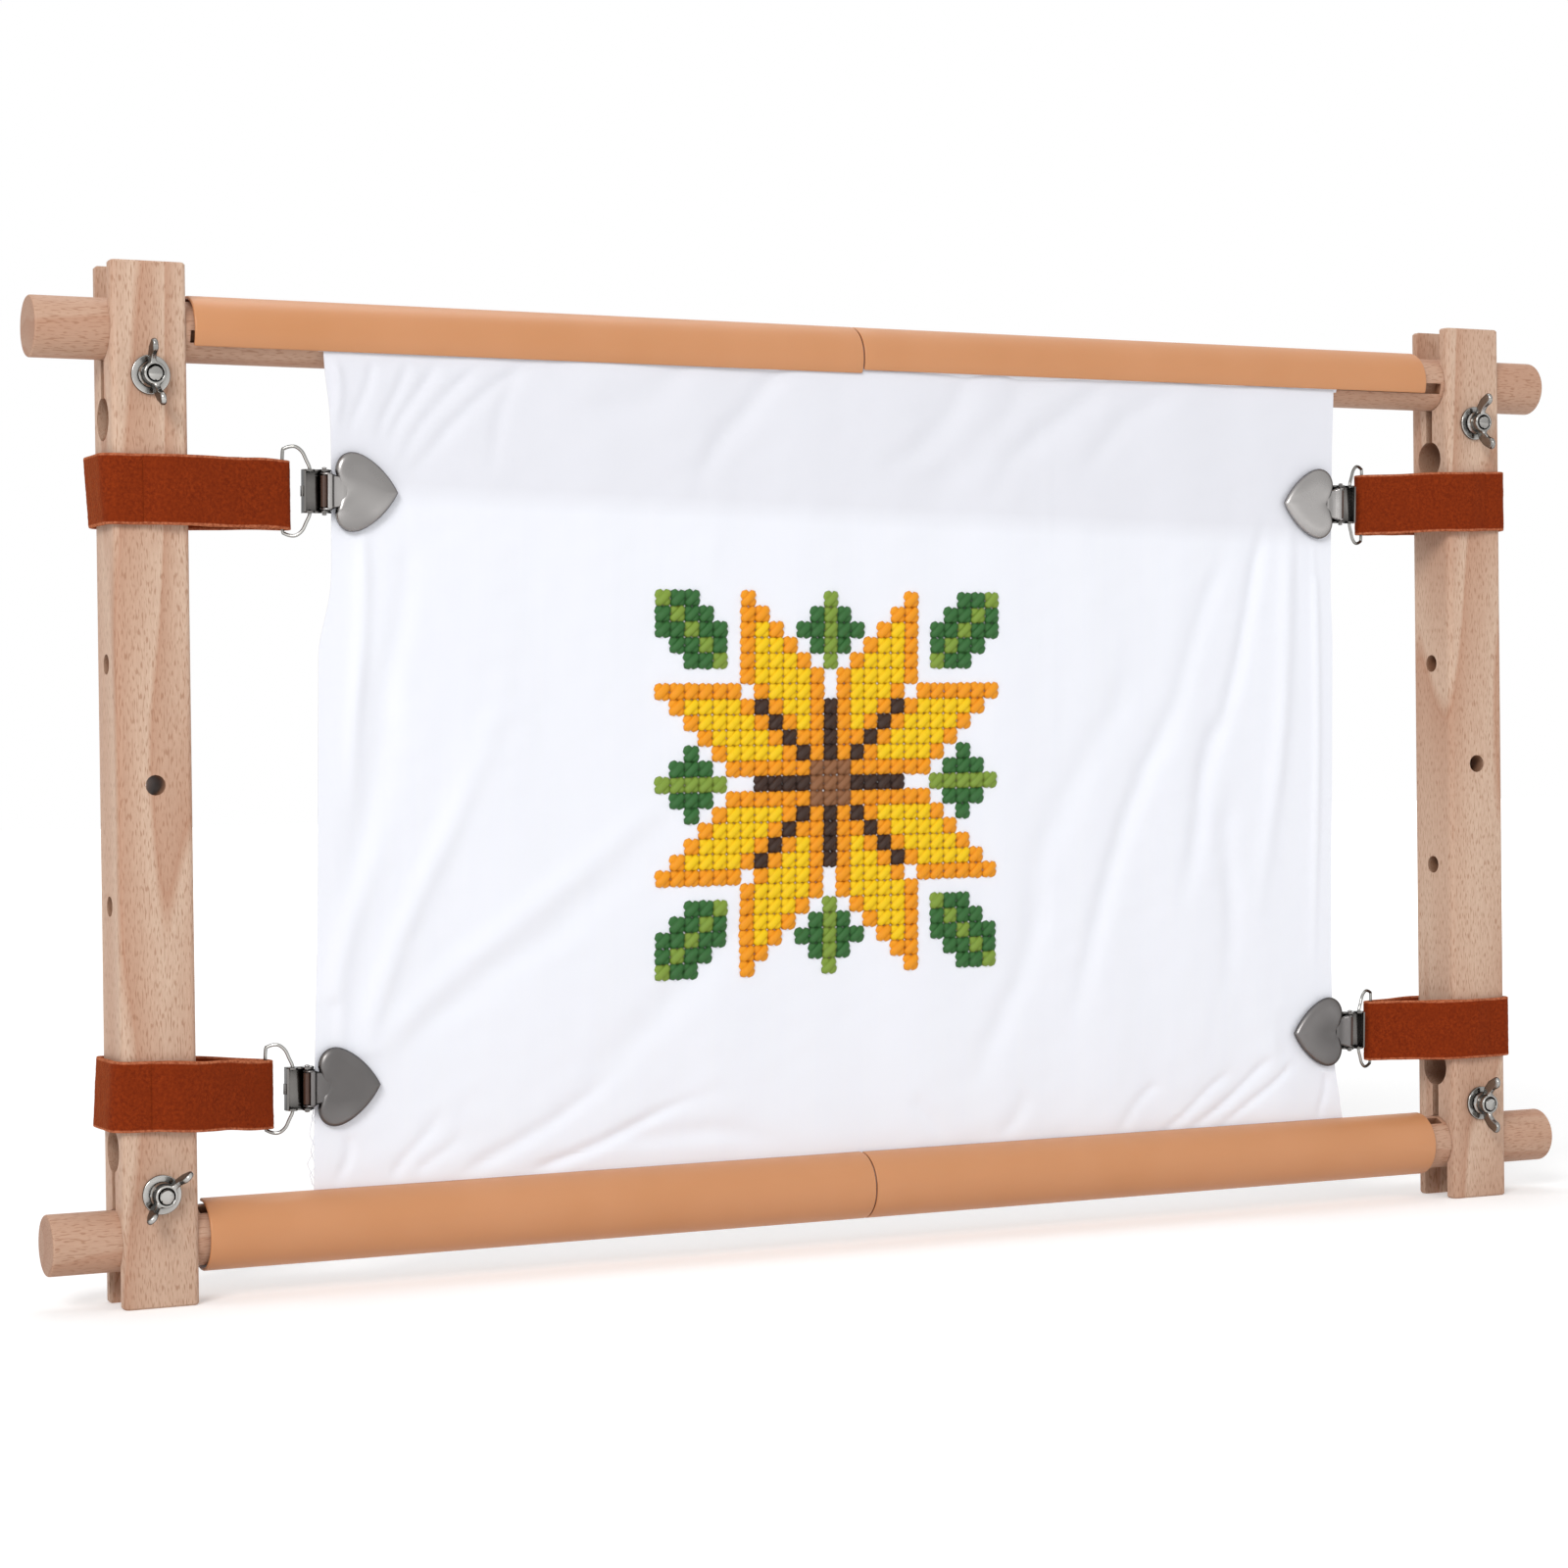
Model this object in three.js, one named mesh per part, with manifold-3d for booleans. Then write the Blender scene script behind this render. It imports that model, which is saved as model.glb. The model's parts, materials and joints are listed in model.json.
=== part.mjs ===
// Embroidery scroll frame: two slotted beech rails clamp two beech rollers with carriage bolts and
// wing nuts. Split plastic covers hold a sheet of cloth on the rollers, and four fabric straps with
// heart-faced lever clips stretch its sides.
// Millimetres, +Z up, X runs along the rollers, the front faces -Y, the origin is on the floor midway.

import * as THREE from "three";
import { mergeVertices } from "three/addons/utils/BufferGeometryUtils.js";
import Module from "manifold-3d";

const wasm = await Module();
wasm.setup();

// Side rails
const railHeight = 405;
const railWidth = 30;
const railDepth = 28;
const railPitch = 630;
const railEdgeRadius = 2.5;
const railEndChamfer = 0.8;

// Rollers, their bores and the groove that runs along each one
const rollerRadius = 12;
const rollerOverhang = 28;
const rollerEndChamfer = 0.8;
const rollerEndInset = 25.5;
const topRollerShift = -1;
const bottomRollerShift = 1;
const boreClearance = 0.3;
const grooveWidth = 4.9;
const grooveDepth = 4;
const grooveEndGap = 2;
const topGrooveAngle = -14;
const bottomGrooveAngle = 63;

// The split clamp at each rail end: end slot, kerf, relief hole and bolt
const endSlotWidth = 17;
const kerfWidth = 4.5;
const reliefHoleDiameter = 17;
const reliefHoleDistance = 35;
const boltDistance = 18.6;

// Fixing holes through the rails
const fixingHoleDiameter = 8;
const sideHoleHeight = 47;

// Carriage bolts, washers and wing nuts
const boltDiameter = 6;
const boltClearance = 0.3;
const boltHeadDiameter = 15.6;
const boltHeadHeight = 3.3;
const boltNeckLength = 3.6;
const boltTipBeyondNut = 0.6;
const seatGap = 0.3;
const washerDiameter = 15.5;
const washerThickness = 1.2;
const nutHubBaseDiameter = 11.2;
const nutHubTopDiameter = 9;
const nutHubHeight = 6.3;
const nutWingSpan = 26;
const nutWingHeight = 12.8;
const nutWingThickness = 2.2;
const nutWingWidth = 5.4;
const nutWingBevel = 0.5;
const upperLeftNutAngle = -8;
const lowerLeftNutAngle = 43;
const upperRightNutAngle = -4;
const lowerRightNutAngle = 1;

// Cloth: the stretched sheet, as far as it stays from the rails, and the turn of it on each roller
const clothThickness = 0.6;
const wrapThickness = 0.35;
const wrapClearance = 0.2;
const wrapTailAngle = 12;
const wrapLipAngle = 5;
const clothLeftGap = 54;
const clothRightGap = 60;
const clothFlare = 5;
const clothSetback = 0.9;
const clothEndClearance = 0.4;
const creaseHeight = 1.5;
const creaseHalfWidth = 13;

// Covers: split tubes, open at the back, that grip the cloth round each roller
const coverClearance = 0.3;
const coverWall = 1.45;
const coverEndGap = 7.4;
const coverSpan = 210;
const coverSeamGap = 0.4;
const topCoverSeam = -4.2;
const bottomCoverSeam = -2.8;
const topLeftCoverAngle = -25.5;
const topRightCoverAngle = -19.5;
const bottomLeftCoverAngle = 94;
const bottomRightCoverAngle = 90;

// Straps round the rails
const strapHeight = 26.5;
const strapThickness = 1.5;
const strapClearance = 0.9;
const strapLayerGap = 0.3;
const leftStrapSlack = 4.2;
const rightStrapSlack = 2.5;
const strapCornerRadius = 5;
const strapTailLength = 24;
const strapFoldClearance = 0.7;

// Wire loops between strap and clip
const wireDiameter = 1.8;
const loopHalfHeight = 17.6;
const loopCornerRadius = 3;
const loopLevel = 1.2;
const loopTilt = 25;

// Suspender clips. Along the clip, lengths are measured from the hinge pin: the jaws point to the
// middle of the cloth and the strap is behind. Levels are measured forwards from the cloth.
const pinLevel = 2.2;
const pinDiameter = 1.5;
const pinClearance = 0.25;
const pinHeadDiameter = 2.2;
const pinHeadLength = 0.6;
const clipSheet = 0.8;
const clipHalfHeight = 8.65;
const clipBackLength = 8.4;
const clipFlangeReach = 3.2;
const clipFlangeLevel = 1.9;
const clipEndWallLevel = 2.4;
const clipEarRadius = 1.9;
const clipTabLength = 0.7;
const clipTabHalfHeight = 2.1;
const jawGap = 0.3;
const jawLength = 24;
const jawHalfHeight = 7;
const barDistance = 16.5;
const wireHoleDistance = 5.8;
const wireHoleClearance = 0.35;
const wireEndReach = 0.7;
const leverSideGap = 0.5;
const neckLevel = 4;
const neckStart = 0.6;
const neckRidgeLength = 2.4;
const neckStep = 1.3;
const earRadius = 1.7;
const heartNotch = 6.8;
const heartLobe = 4.6;
const heartTip = 30.8;
const heartHeight = 31.8;
const heartRimLevel = 1.9;
const heartDome = 2.9;
const heartBevelWidth = 2.4;
const heartBevelDepth = 1.8;
const insertRadius = 1.5;
const insertSideGap = 0.3;
const insertNoseLength = 9;
const insertTeeth = 4;
const toothHeight = 0.4;

// Overrun of every cutting tool, and the distance under which vertices are one
const overrun = 2;
const weld = 1e-4;

// How far each clip's hinge pin stands outside the cloth's free edge, how far the clip is from the
// nearer roller's axis, and how far the strap sits above the clip
const upperLeftPinOffset = -1.6;
const lowerLeftPinOffset = 6;
const upperRightPinOffset = 1.3;
const lowerRightPinOffset = 9.7;
const upperLeftClipDistance = 61.8;
const lowerLeftClipDistance = 55.4;
const upperRightClipDistance = 57.4;
const lowerRightClipDistance = 54.7;
const upperLeftStrapOffset = -1.8;
const lowerLeftStrapOffset = 0.4;
const upperRightStrapOffset = 0.75;
const lowerRightStrapOffset = -1.75;

// How far a strap slides along its rail, towards the middle and away from it
const strapTravelIn = 22;
const strapTravelOut = 7;

// Worked out from the sizes above
const rollerHeight = railHeight / 2 - rollerEndInset;
const railInnerFace = railPitch / 2 - railWidth / 2;
const rollerLength = railPitch + railWidth + 2 * rollerOverhang;
const boltHeight = rollerHeight - boltDistance;
const wrapInnerRadius = rollerRadius + wrapClearance;
const wrapOuterRadius = wrapInnerRadius + wrapThickness;
const coverInnerRadius = wrapOuterRadius + coverClearance;
const coverOuterRadius = coverInnerRadius + coverWall;
const coverLength = railInnerFace - coverEndGap - coverSeamGap / 2;
const clothLeftReach = railInnerFace - clothLeftGap;
const clothRightReach = railInnerFace - clothRightGap;
const clothInJaw = clipFlangeReach + clothSetback;
const nutSeat = seatGap + washerThickness + seatGap;
const nutReach = nutSeat + nutWingHeight;
const depthShift = (nutReach - boltHeadHeight - seatGap) / 2;

const corners = [
  { name: "upper_left", side: -1, end: 1, pin: clothLeftReach + upperLeftPinOffset,
    height: rollerHeight - upperLeftClipDistance, strapOffset: upperLeftStrapOffset,
    nutAngle: upperLeftNutAngle },
  { name: "lower_left", side: -1, end: -1, pin: clothLeftReach + lowerLeftPinOffset,
    height: rollerHeight - lowerLeftClipDistance, strapOffset: lowerLeftStrapOffset,
    nutAngle: lowerLeftNutAngle },
  { name: "upper_right", side: 1, end: 1, pin: clothRightReach + upperRightPinOffset,
    height: rollerHeight - upperRightClipDistance, strapOffset: upperRightStrapOffset,
    nutAngle: upperRightNutAngle },
  { name: "lower_right", side: 1, end: -1, pin: clothRightReach + lowerRightPinOffset,
    height: rollerHeight - lowerRightClipDistance, strapOffset: lowerRightStrapOffset,
    nutAngle: lowerRightNutAngle },
];

const beech = material("#d8b590", 0.62, 0);
const coverPlastic = material("#e39f68", 0.42, 0);
const clothWhite = material("#f1f0f4", 0.9, 0);
const strapVelvet = material("#8f3413", 0.95, 0);
const zincSteel = material("#c8c8c4", 0.25, 1);
const clipSteel = material("#9d9b98", 0.32, 1);
const loopSteel = material("#b9b9b6", 0.28, 1);
const insertPlastic = material("#45291b", 0.5, 0);

// Helpers
function material(color, roughness, metalness) {
  return new THREE.MeshStandardMaterial({ color, roughness, metalness });
}

function radians(degrees) {
  return THREE.MathUtils.degToRad(degrees);
}

// A smooth step from 0 at one value to 1 at another
function ease(value, from, to) {
  return THREE.MathUtils.smoothstep((value - from) / (to - from), 0, 1);
}

function solidOf(geometry) {
  const plain = geometry.clone();
  plain.deleteAttribute("normal");
  plain.deleteAttribute("uv");
  const merged = mergeVertices(plain, weld);
  const all = merged.index.array;
  const kept = [];
  for (let i = 0; i < all.length; i += 3) {
    const [a, b, c] = [all[i], all[i + 1], all[i + 2]];
    if (a !== b && b !== c && c !== a) kept.push(a, b, c);
  }
  const vertProperties = new Float32Array(merged.attributes.position.array);
  return new wasm.Manifold(new wasm.Mesh({ numProp: 3, vertProperties, triVerts: new Uint32Array(kept) }));
}

function geometryOf(solid) {
  const mesh = solid.getMesh();
  const geometry = new THREE.BufferGeometry();
  geometry.setAttribute("position", new THREE.BufferAttribute(mesh.vertProperties, 3));
  geometry.setIndex(new THREE.BufferAttribute(mesh.triVerts, 1));
  geometry.computeVertexNormals();
  return geometry;
}

// An outline drawn on two axes and carried along the third, centred on the outline's plane
function slab(shape, length, right, up, settings = {}) {
  const geometry = new THREE.ExtrudeGeometry(shape, { depth: length, bevelEnabled: false, ...settings });
  geometry.translate(0, 0, -length / 2);
  return geometry.applyMatrix4(new THREE.Matrix4().makeBasis(right, up, right.clone().cross(up)));
}

const axisX = new THREE.Vector3(1, 0, 0);
const axisY = new THREE.Vector3(0, 1, 0);
const axisZ = new THREE.Vector3(0, 0, 1);
const forward = new THREE.Vector3(0, -1, 0);

function barX(radius, length, sides) {
  return new THREE.CylinderGeometry(radius, radius, length, sides).rotateZ(-Math.PI / 2);
}

function barY(radius, length, sides) {
  return new THREE.CylinderGeometry(radius, radius, length, sides);
}

function barZ(radius, length, sides) {
  return new THREE.CylinderGeometry(radius, radius, length, sides).rotateX(Math.PI / 2);
}

function roundedRectangle(width, height, radius) {
  const [x, y] = [width / 2, height / 2];
  const shape = new THREE.Shape();
  shape.absarc(x - radius, y - radius, radius, 0, Math.PI / 2);
  shape.absarc(radius - x, y - radius, radius, Math.PI / 2, Math.PI);
  shape.absarc(radius - x, radius - y, radius, Math.PI, 1.5 * Math.PI);
  shape.absarc(x - radius, radius - y, radius, 1.5 * Math.PI, 2 * Math.PI);
  return shape;
}

// A point round a roller: 0 degrees is straight forward, 90 degrees is up
function roundRoller(radius, degrees) {
  const angle = radians(degrees);
  return new THREE.Vector2(-radius * Math.cos(angle), radius * Math.sin(angle));
}

// The outline of a layer that goes part of the way round a roller, with rounded edges
function layerOutline(inner, outer, from, to, steps) {
  const middle = (inner + outer) / 2;
  const half = (outer - inner) / 2;
  const points = [];
  for (let i = 0; i <= steps; i += 1) points.push(roundRoller(outer, from + (to - from) * i / steps));
  addRoundEdge(points, middle, half, to, Math.sign(to - from));
  for (let i = steps; i >= 0; i -= 1) points.push(roundRoller(inner, from + (to - from) * i / steps));
  addRoundEdge(points, middle, -half, from, -Math.sign(to - from));
  return new THREE.Shape(points);
}

// The round edge's points run from one face of the layer to the other, past its last angle
function addRoundEdge(points, middle, half, degrees, direction) {
  for (const turn of [45, 90, 135]) {
    const past = Math.abs(half) * Math.sin(radians(turn));
    const radius = middle + half * Math.cos(radians(turn));
    points.push(roundRoller(radius, degrees + direction * THREE.MathUtils.radToDeg(past / middle)));
  }
}

function place(geometry, name, finish, parent) {
  const mesh = new THREE.Mesh(geometry, finish);
  mesh.name = name;
  parent.add(mesh);
  return mesh;
}

// The stretched cloth is a flat sheet that leans back towards its foot: it leaves the top roller at
// its cover's lower edge and reaches the bottom roller at that cover's upper edge
const clothMiddleRadius = (wrapInnerRadius + wrapOuterRadius) / 2;
const clothTop = roundRoller(clothMiddleRadius, topLeftCoverAngle);
clothTop.y += rollerHeight;
const clothFoot = roundRoller(clothMiddleRadius, bottomLeftCoverAngle);
clothFoot.y -= rollerHeight;
const clothSlope = (clothFoot.x - clothTop.x) / (clothTop.y - clothFoot.y);
const clothTilt = Math.atan(clothSlope);

function clothDepth(z) {
  return clothTop.x + (clothTop.y - z) * clothSlope;
}

// The height at which the sheet's middle plane is a given distance from a roller's axis
function clothHeightAt(distance, end) {
  const axisHeight = end * rollerHeight;
  const across = clothDepth(axisHeight) * Math.cos(clothTilt);
  const along = Math.sqrt(distance ** 2 - across ** 2);
  return axisHeight - end * along * Math.cos(clothTilt) + across * Math.sin(clothTilt);
}

// Side rails
function railGeometry() {
  const outline = roundedRectangle(railWidth, railDepth, railEdgeRadius);
  const blank = new THREE.ExtrudeGeometry(outline, {
    depth: railHeight - 2 * railEndChamfer, bevelThickness: railEndChamfer, bevelSize: railEndChamfer,
    bevelOffset: -railEndChamfer, bevelSegments: 1, curveSegments: 2,
  });
  blank.translate(0, 0, railEndChamfer - railHeight / 2);
  let rail = solidOf(blank);
  for (const end of [-1, 1]) {
    for (const cutter of clampCutters(end)) rail = rail.subtract(solidOf(cutter));
    const sideHole = barX(fixingHoleDiameter / 2, railWidth + overrun, 16);
    rail = rail.subtract(solidOf(sideHole.translate(0, 0, end * sideHoleHeight)));
  }
  rail = rail.subtract(solidOf(barY(fixingHoleDiameter / 2, railDepth + overrun, 16)));
  return geometryOf(rail);
}

function clampCutters(end) {
  const width = railWidth + overrun;
  const bore = barX(rollerRadius + boreClearance, width, 36);
  bore.translate(0, 0, end * rollerHeight);
  const slotHeight = rollerEndInset + overrun;
  const slot = new THREE.BoxGeometry(width, endSlotWidth, slotHeight);
  slot.translate(0, 0, end * (rollerHeight + slotHeight / 2));
  const kerf = new THREE.BoxGeometry(width, kerfWidth, reliefHoleDistance);
  kerf.translate(0, 0, end * (rollerHeight - reliefHoleDistance / 2));
  const relief = barX(reliefHoleDiameter / 2, width, 24);
  relief.translate(0, 0, end * (rollerHeight - reliefHoleDistance));
  const boltHole = barY(boltDiameter / 2 + boltClearance, railDepth + overrun, 16);
  boltHole.translate(0, 0, end * boltHeight);
  const neckWidth = boltDiameter + 2 * boltClearance;
  const neckPocket = new THREE.BoxGeometry(neckWidth, boltNeckLength + overrun, neckWidth);
  neckPocket.translate(0, railDepth / 2 - boltNeckLength / 2 - boltClearance + overrun / 2, end * boltHeight);
  return [bore, slot, kerf, relief, boltHole, neckPocket];
}

// Rollers
function rollerGeometry(shift, grooveAngle) {
  const half = rollerLength / 2;
  const rim = rollerRadius - rollerEndChamfer;
  const profile = [
    new THREE.Vector2(0, -half),
    new THREE.Vector2(rim, -half),
    new THREE.Vector2(rollerRadius, rollerEndChamfer - half),
    new THREE.Vector2(rollerRadius, half - rollerEndChamfer),
    new THREE.Vector2(rim, half),
    new THREE.Vector2(0, half),
  ];
  const blank = new THREE.LatheGeometry(profile, 48).rotateZ(-Math.PI / 2).translate(shift, 0, 0);
  const grooveLength = 2 * (railInnerFace - grooveEndGap);
  const groove = new THREE.BoxGeometry(grooveLength, grooveDepth + overrun, grooveWidth);
  groove.translate(0, -(rollerRadius + overrun / 2 - grooveDepth / 2), 0);
  groove.rotateX(radians(-grooveAngle));
  return geometryOf(solidOf(blank).subtract(solidOf(groove)));
}

// Covers, two on each roller, meeting near the middle
function coverGeometry(angle, direction) {
  const steps = Math.round(coverSpan / 8);
  const to = angle + direction * coverSpan;
  const outline = layerOutline(coverInnerRadius, coverOuterRadius, angle, to, steps);
  return slab(outline, coverLength, axisY, axisZ);
}

function wrapGeometry(angle, direction) {
  const from = angle - direction * wrapLipAngle;
  const to = angle + direction * (coverSpan + wrapTailAngle);
  const outline = layerOutline(wrapInnerRadius, wrapOuterRadius, from, to, 28);
  return slab(outline, clothLeftReach + clothRightReach, axisY, axisZ);
}

// Carriage bolt, pointing forwards, with its seat on the rail's back face at 0
function boltGeometry() {
  const radius = boltDiameter / 2;
  const headRadius = boltHeadDiameter / 2;
  const tip = railDepth + seatGap + nutSeat + nutHubHeight + boltTipBeyondNut;
  const dome = (headRadius ** 2 + boltHeadHeight ** 2) / (2 * boltHeadHeight);
  const profile = [new THREE.Vector2(0, boltHeadHeight)];
  const half = Math.asin(headRadius / dome);
  for (let i = 1; i <= 4; i += 1) {
    const angle = half * i / 4;
    profile.push(new THREE.Vector2(dome * Math.sin(angle), boltHeadHeight - dome * (1 - Math.cos(angle))));
  }
  profile.push(new THREE.Vector2(radius, 0));
  profile.push(new THREE.Vector2(radius, -tip + radius / 6));
  profile.push(new THREE.Vector2(radius * 5 / 6, -tip));
  profile.push(new THREE.Vector2(0, -tip));
  const turned = solidOf(new THREE.LatheGeometry(profile.reverse(), 20));
  const neck = new THREE.BoxGeometry(boltDiameter, boltNeckLength + boltHeadHeight / 4, boltDiameter);
  neck.translate(0, boltHeadHeight / 8 - boltNeckLength / 2, 0);
  return geometryOf(turned.add(solidOf(neck)));
}

function washerGeometry() {
  const inner = boltDiameter / 2 + boltClearance;
  const outer = washerDiameter / 2;
  const edge = washerThickness / 5;
  const half = washerThickness / 2;
  const profile = [
    new THREE.Vector2(inner, -half),
    new THREE.Vector2(outer - edge, -half),
    new THREE.Vector2(outer, edge - half),
    new THREE.Vector2(outer, half - edge),
    new THREE.Vector2(outer - edge, half),
    new THREE.Vector2(inner, half),
    new THREE.Vector2(inner, -half),
  ];
  return new THREE.LatheGeometry(profile, 22);
}

// Wing nut with its seat at 0 and its wings rising forwards, towards -Y
function nutGeometry() {
  const base = nutHubBaseDiameter / 2;
  const top = nutHubTopDiameter / 2;
  const bore = boltDiameter / 2 + boltClearance;
  const collar = nutHubHeight / 4;
  const profile = [
    new THREE.Vector2(bore, -nutHubHeight),
    new THREE.Vector2(top, -nutHubHeight),
    new THREE.Vector2(top, -collar),
    new THREE.Vector2(base, 0),
    new THREE.Vector2(bore, 0),
    new THREE.Vector2(bore, -nutHubHeight),
  ];
  let nut = solidOf(new THREE.LatheGeometry(profile, 18));
  const wing = solidOf(wingGeometry());
  const otherWing = solidOf(wingGeometry().rotateY(Math.PI));
  const clearBore = solidOf(barY(bore, 2 * nutHubHeight + overrun, 18));
  nut = nut.add(wing).add(otherWing).subtract(clearBore);
  return geometryOf(nut);
}

// A wing is a leaf drawn in (X, height): from the hub it sweeps out and forwards to a round tip. The
// shares are of the hub's height.
const wingRootShare = 0.17;
const wingBellyShare = 0.25;
const wingWaistShare = 1.1;
const wingTopShare = 0.95;

function wingGeometry() {
  const root = nutHubTopDiameter / 2 - nutWingThickness / 2;
  const reach = nutWingSpan / 2;
  const radius = nutWingWidth / 2;
  const tip = new THREE.Vector2(reach - radius, nutWingHeight - radius);
  const shape = new THREE.Shape();
  shape.moveTo(root, nutHubHeight * wingRootShare);
  shape.quadraticCurveTo(reach - radius, nutHubHeight * wingBellyShare, reach, tip.y);
  shape.absarc(tip.x, tip.y, radius, 0, radians(150), false);
  shape.quadraticCurveTo(reach / 2, nutHubHeight * wingWaistShare, root, nutHubHeight * wingTopShare);
  const bevel = {
    bevelEnabled: true, bevelThickness: nutWingBevel, bevelSize: nutWingBevel,
    bevelOffset: -nutWingBevel, bevelSegments: 1, curveSegments: 3,
  };
  return slab(shape, nutWingThickness - 2 * nutWingBevel, axisX, forward, bevel);
}

// Straps. The outline is drawn from above with the rail's middle at 0 and the cloth towards +X: the
// strap starts at the wire loop, goes forwards round the outside of the rail, comes back behind it,
// turns round the loop's bar and is pressed down on its own front layer.
function strapGeometry(barReach, barDepth, slack) {
  const front = -(railDepth / 2 + strapClearance + strapThickness / 2);
  const back = -front;
  const layerStep = strapThickness + strapLayerGap;
  const outside = -(railWidth / 2 + slack - strapThickness / 2);
  const inside = railWidth / 2;
  const bar = new THREE.Vector2(barReach, barDepth);
  const fold = wireDiameter / 2 + strapFoldClearance + strapThickness / 2;
  const frontCorner = new THREE.Vector2(inside, front - layerStep);
  const backCorner = new THREE.Vector2(inside + strapClearance, back);
  const backTurn = tangentPoint(backCorner, bar, fold, 1);
  const frontTurn = tangentPoint(frontCorner, bar, fold, -1);
  const start = frontTurn.clone().lerp(frontCorner, strapCornerRadius / frontTurn.distanceTo(frontCorner));
  start.y += layerStep;
  const line = roundedPath([
    start,
    new THREE.Vector2(inside, front),
    new THREE.Vector2(outside, front),
    new THREE.Vector2(outside, back),
    backCorner,
    backTurn,
  ], strapCornerRadius);
  const startAngle = backTurn.clone().sub(bar).angle();
  const endAngle = frontTurn.clone().sub(bar).angle();
  line.absarc(bar.x, bar.y, fold, startAngle, endAngle, true);
  const tail = new THREE.Vector2(inside - strapTailLength + strapCornerRadius, front - layerStep);
  line.lineTo(frontCorner.x, frontCorner.y);
  line.lineTo(tail.x, tail.y);
  return slab(ribbonOutline(line.getPoints(5), strapThickness), strapHeight, axisX, axisY);
}

// Where a straight line from a point touches a circle, on its left (1) or right (-1) side
function tangentPoint(from, centre, radius, turn) {
  const toCentre = centre.clone().sub(from);
  const angle = toCentre.angle() + turn * (Math.PI / 2 + Math.asin(radius / toCentre.length()));
  return centre.clone().add(new THREE.Vector2(Math.cos(angle), Math.sin(angle)).multiplyScalar(radius));
}

// A path through points, with every inner corner rounded
function roundedPath(points, radius) {
  const path = new THREE.Path();
  path.moveTo(points[0].x, points[0].y);
  for (let i = 1; i < points.length - 1; i += 1) {
    const corner = points[i];
    const into = points[i - 1].clone().sub(corner).setLength(radius).add(corner);
    const out = points[i + 1].clone().sub(corner).setLength(radius).add(corner);
    path.lineTo(into.x, into.y);
    path.quadraticCurveTo(corner.x, corner.y, out.x, out.y);
  }
  const last = points[points.length - 1];
  path.lineTo(last.x, last.y);
  return path;
}

// The outline of a band of even thickness that follows a line of points
function ribbonOutline(points, thickness) {
  const left = [];
  const right = [];
  for (let i = 0; i < points.length; i += 1) {
    const before = points[Math.max(i - 1, 0)];
    const after = points[Math.min(i + 1, points.length - 1)];
    const normal = after.clone().sub(before).normalize().rotateAround(new THREE.Vector2(), Math.PI / 2);
    left.push(points[i].clone().addScaledVector(normal, thickness / 2));
    right.push(points[i].clone().addScaledVector(normal, -thickness / 2));
  }
  return new THREE.Shape([...left, ...right.reverse()]);
}

// Wire loop: an open wire whose two ends turn into the holes of the clip's flanges, on which it swings
// back by loopTilt. X runs along the clip from its hinge pin. Each row gives a point between a flange
// and the loop's bar, as shares of the way back and of the way out to the loop's half height.
const loopShares = [
  [0.12, 0.4],
  [0.28, 0.78],
  [0.55, 1],
  [0.9, 0.92],
];

function loopGeometry() {
  const inner = clipHalfHeight - clipSheet - wireEndReach;
  const shoulder = loopHalfHeight - loopCornerRadius;
  const back = barDistance - wireHoleDistance;
  const out = loopHalfHeight - clipHalfHeight;
  const half = [
    [-wireHoleDistance, inner],
    [-wireHoleDistance, clipHalfHeight + wireDiameter / 2],
    ...loopShares.map(([x, z]) => [-wireHoleDistance - back * x, clipHalfHeight + out * z]),
    [-barDistance, shoulder],
    [-barDistance, shoulder / 2],
  ];
  const upper = half.map(([x, z]) => new THREE.Vector3(x, -loopLevel, z));
  const lower = half.map(([x, z]) => new THREE.Vector3(x, -loopLevel, -z)).reverse();
  const path = new THREE.CatmullRomCurve3([...upper, ...lower], false, "centripetal");
  const section = new THREE.Shape();
  section.absarc(0, 0, wireDiameter / 2, 0, 2 * Math.PI);
  const settings = { steps: 34, curveSegments: 3, extrudePath: path, bevelEnabled: false };
  const loop = new THREE.ExtrudeGeometry(section, settings);
  loop.translate(wireHoleDistance, loopLevel, 0).rotateZ(-radians(loopTilt));
  return loop.translate(-wireHoleDistance, -loopLevel, 0);
}

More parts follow.
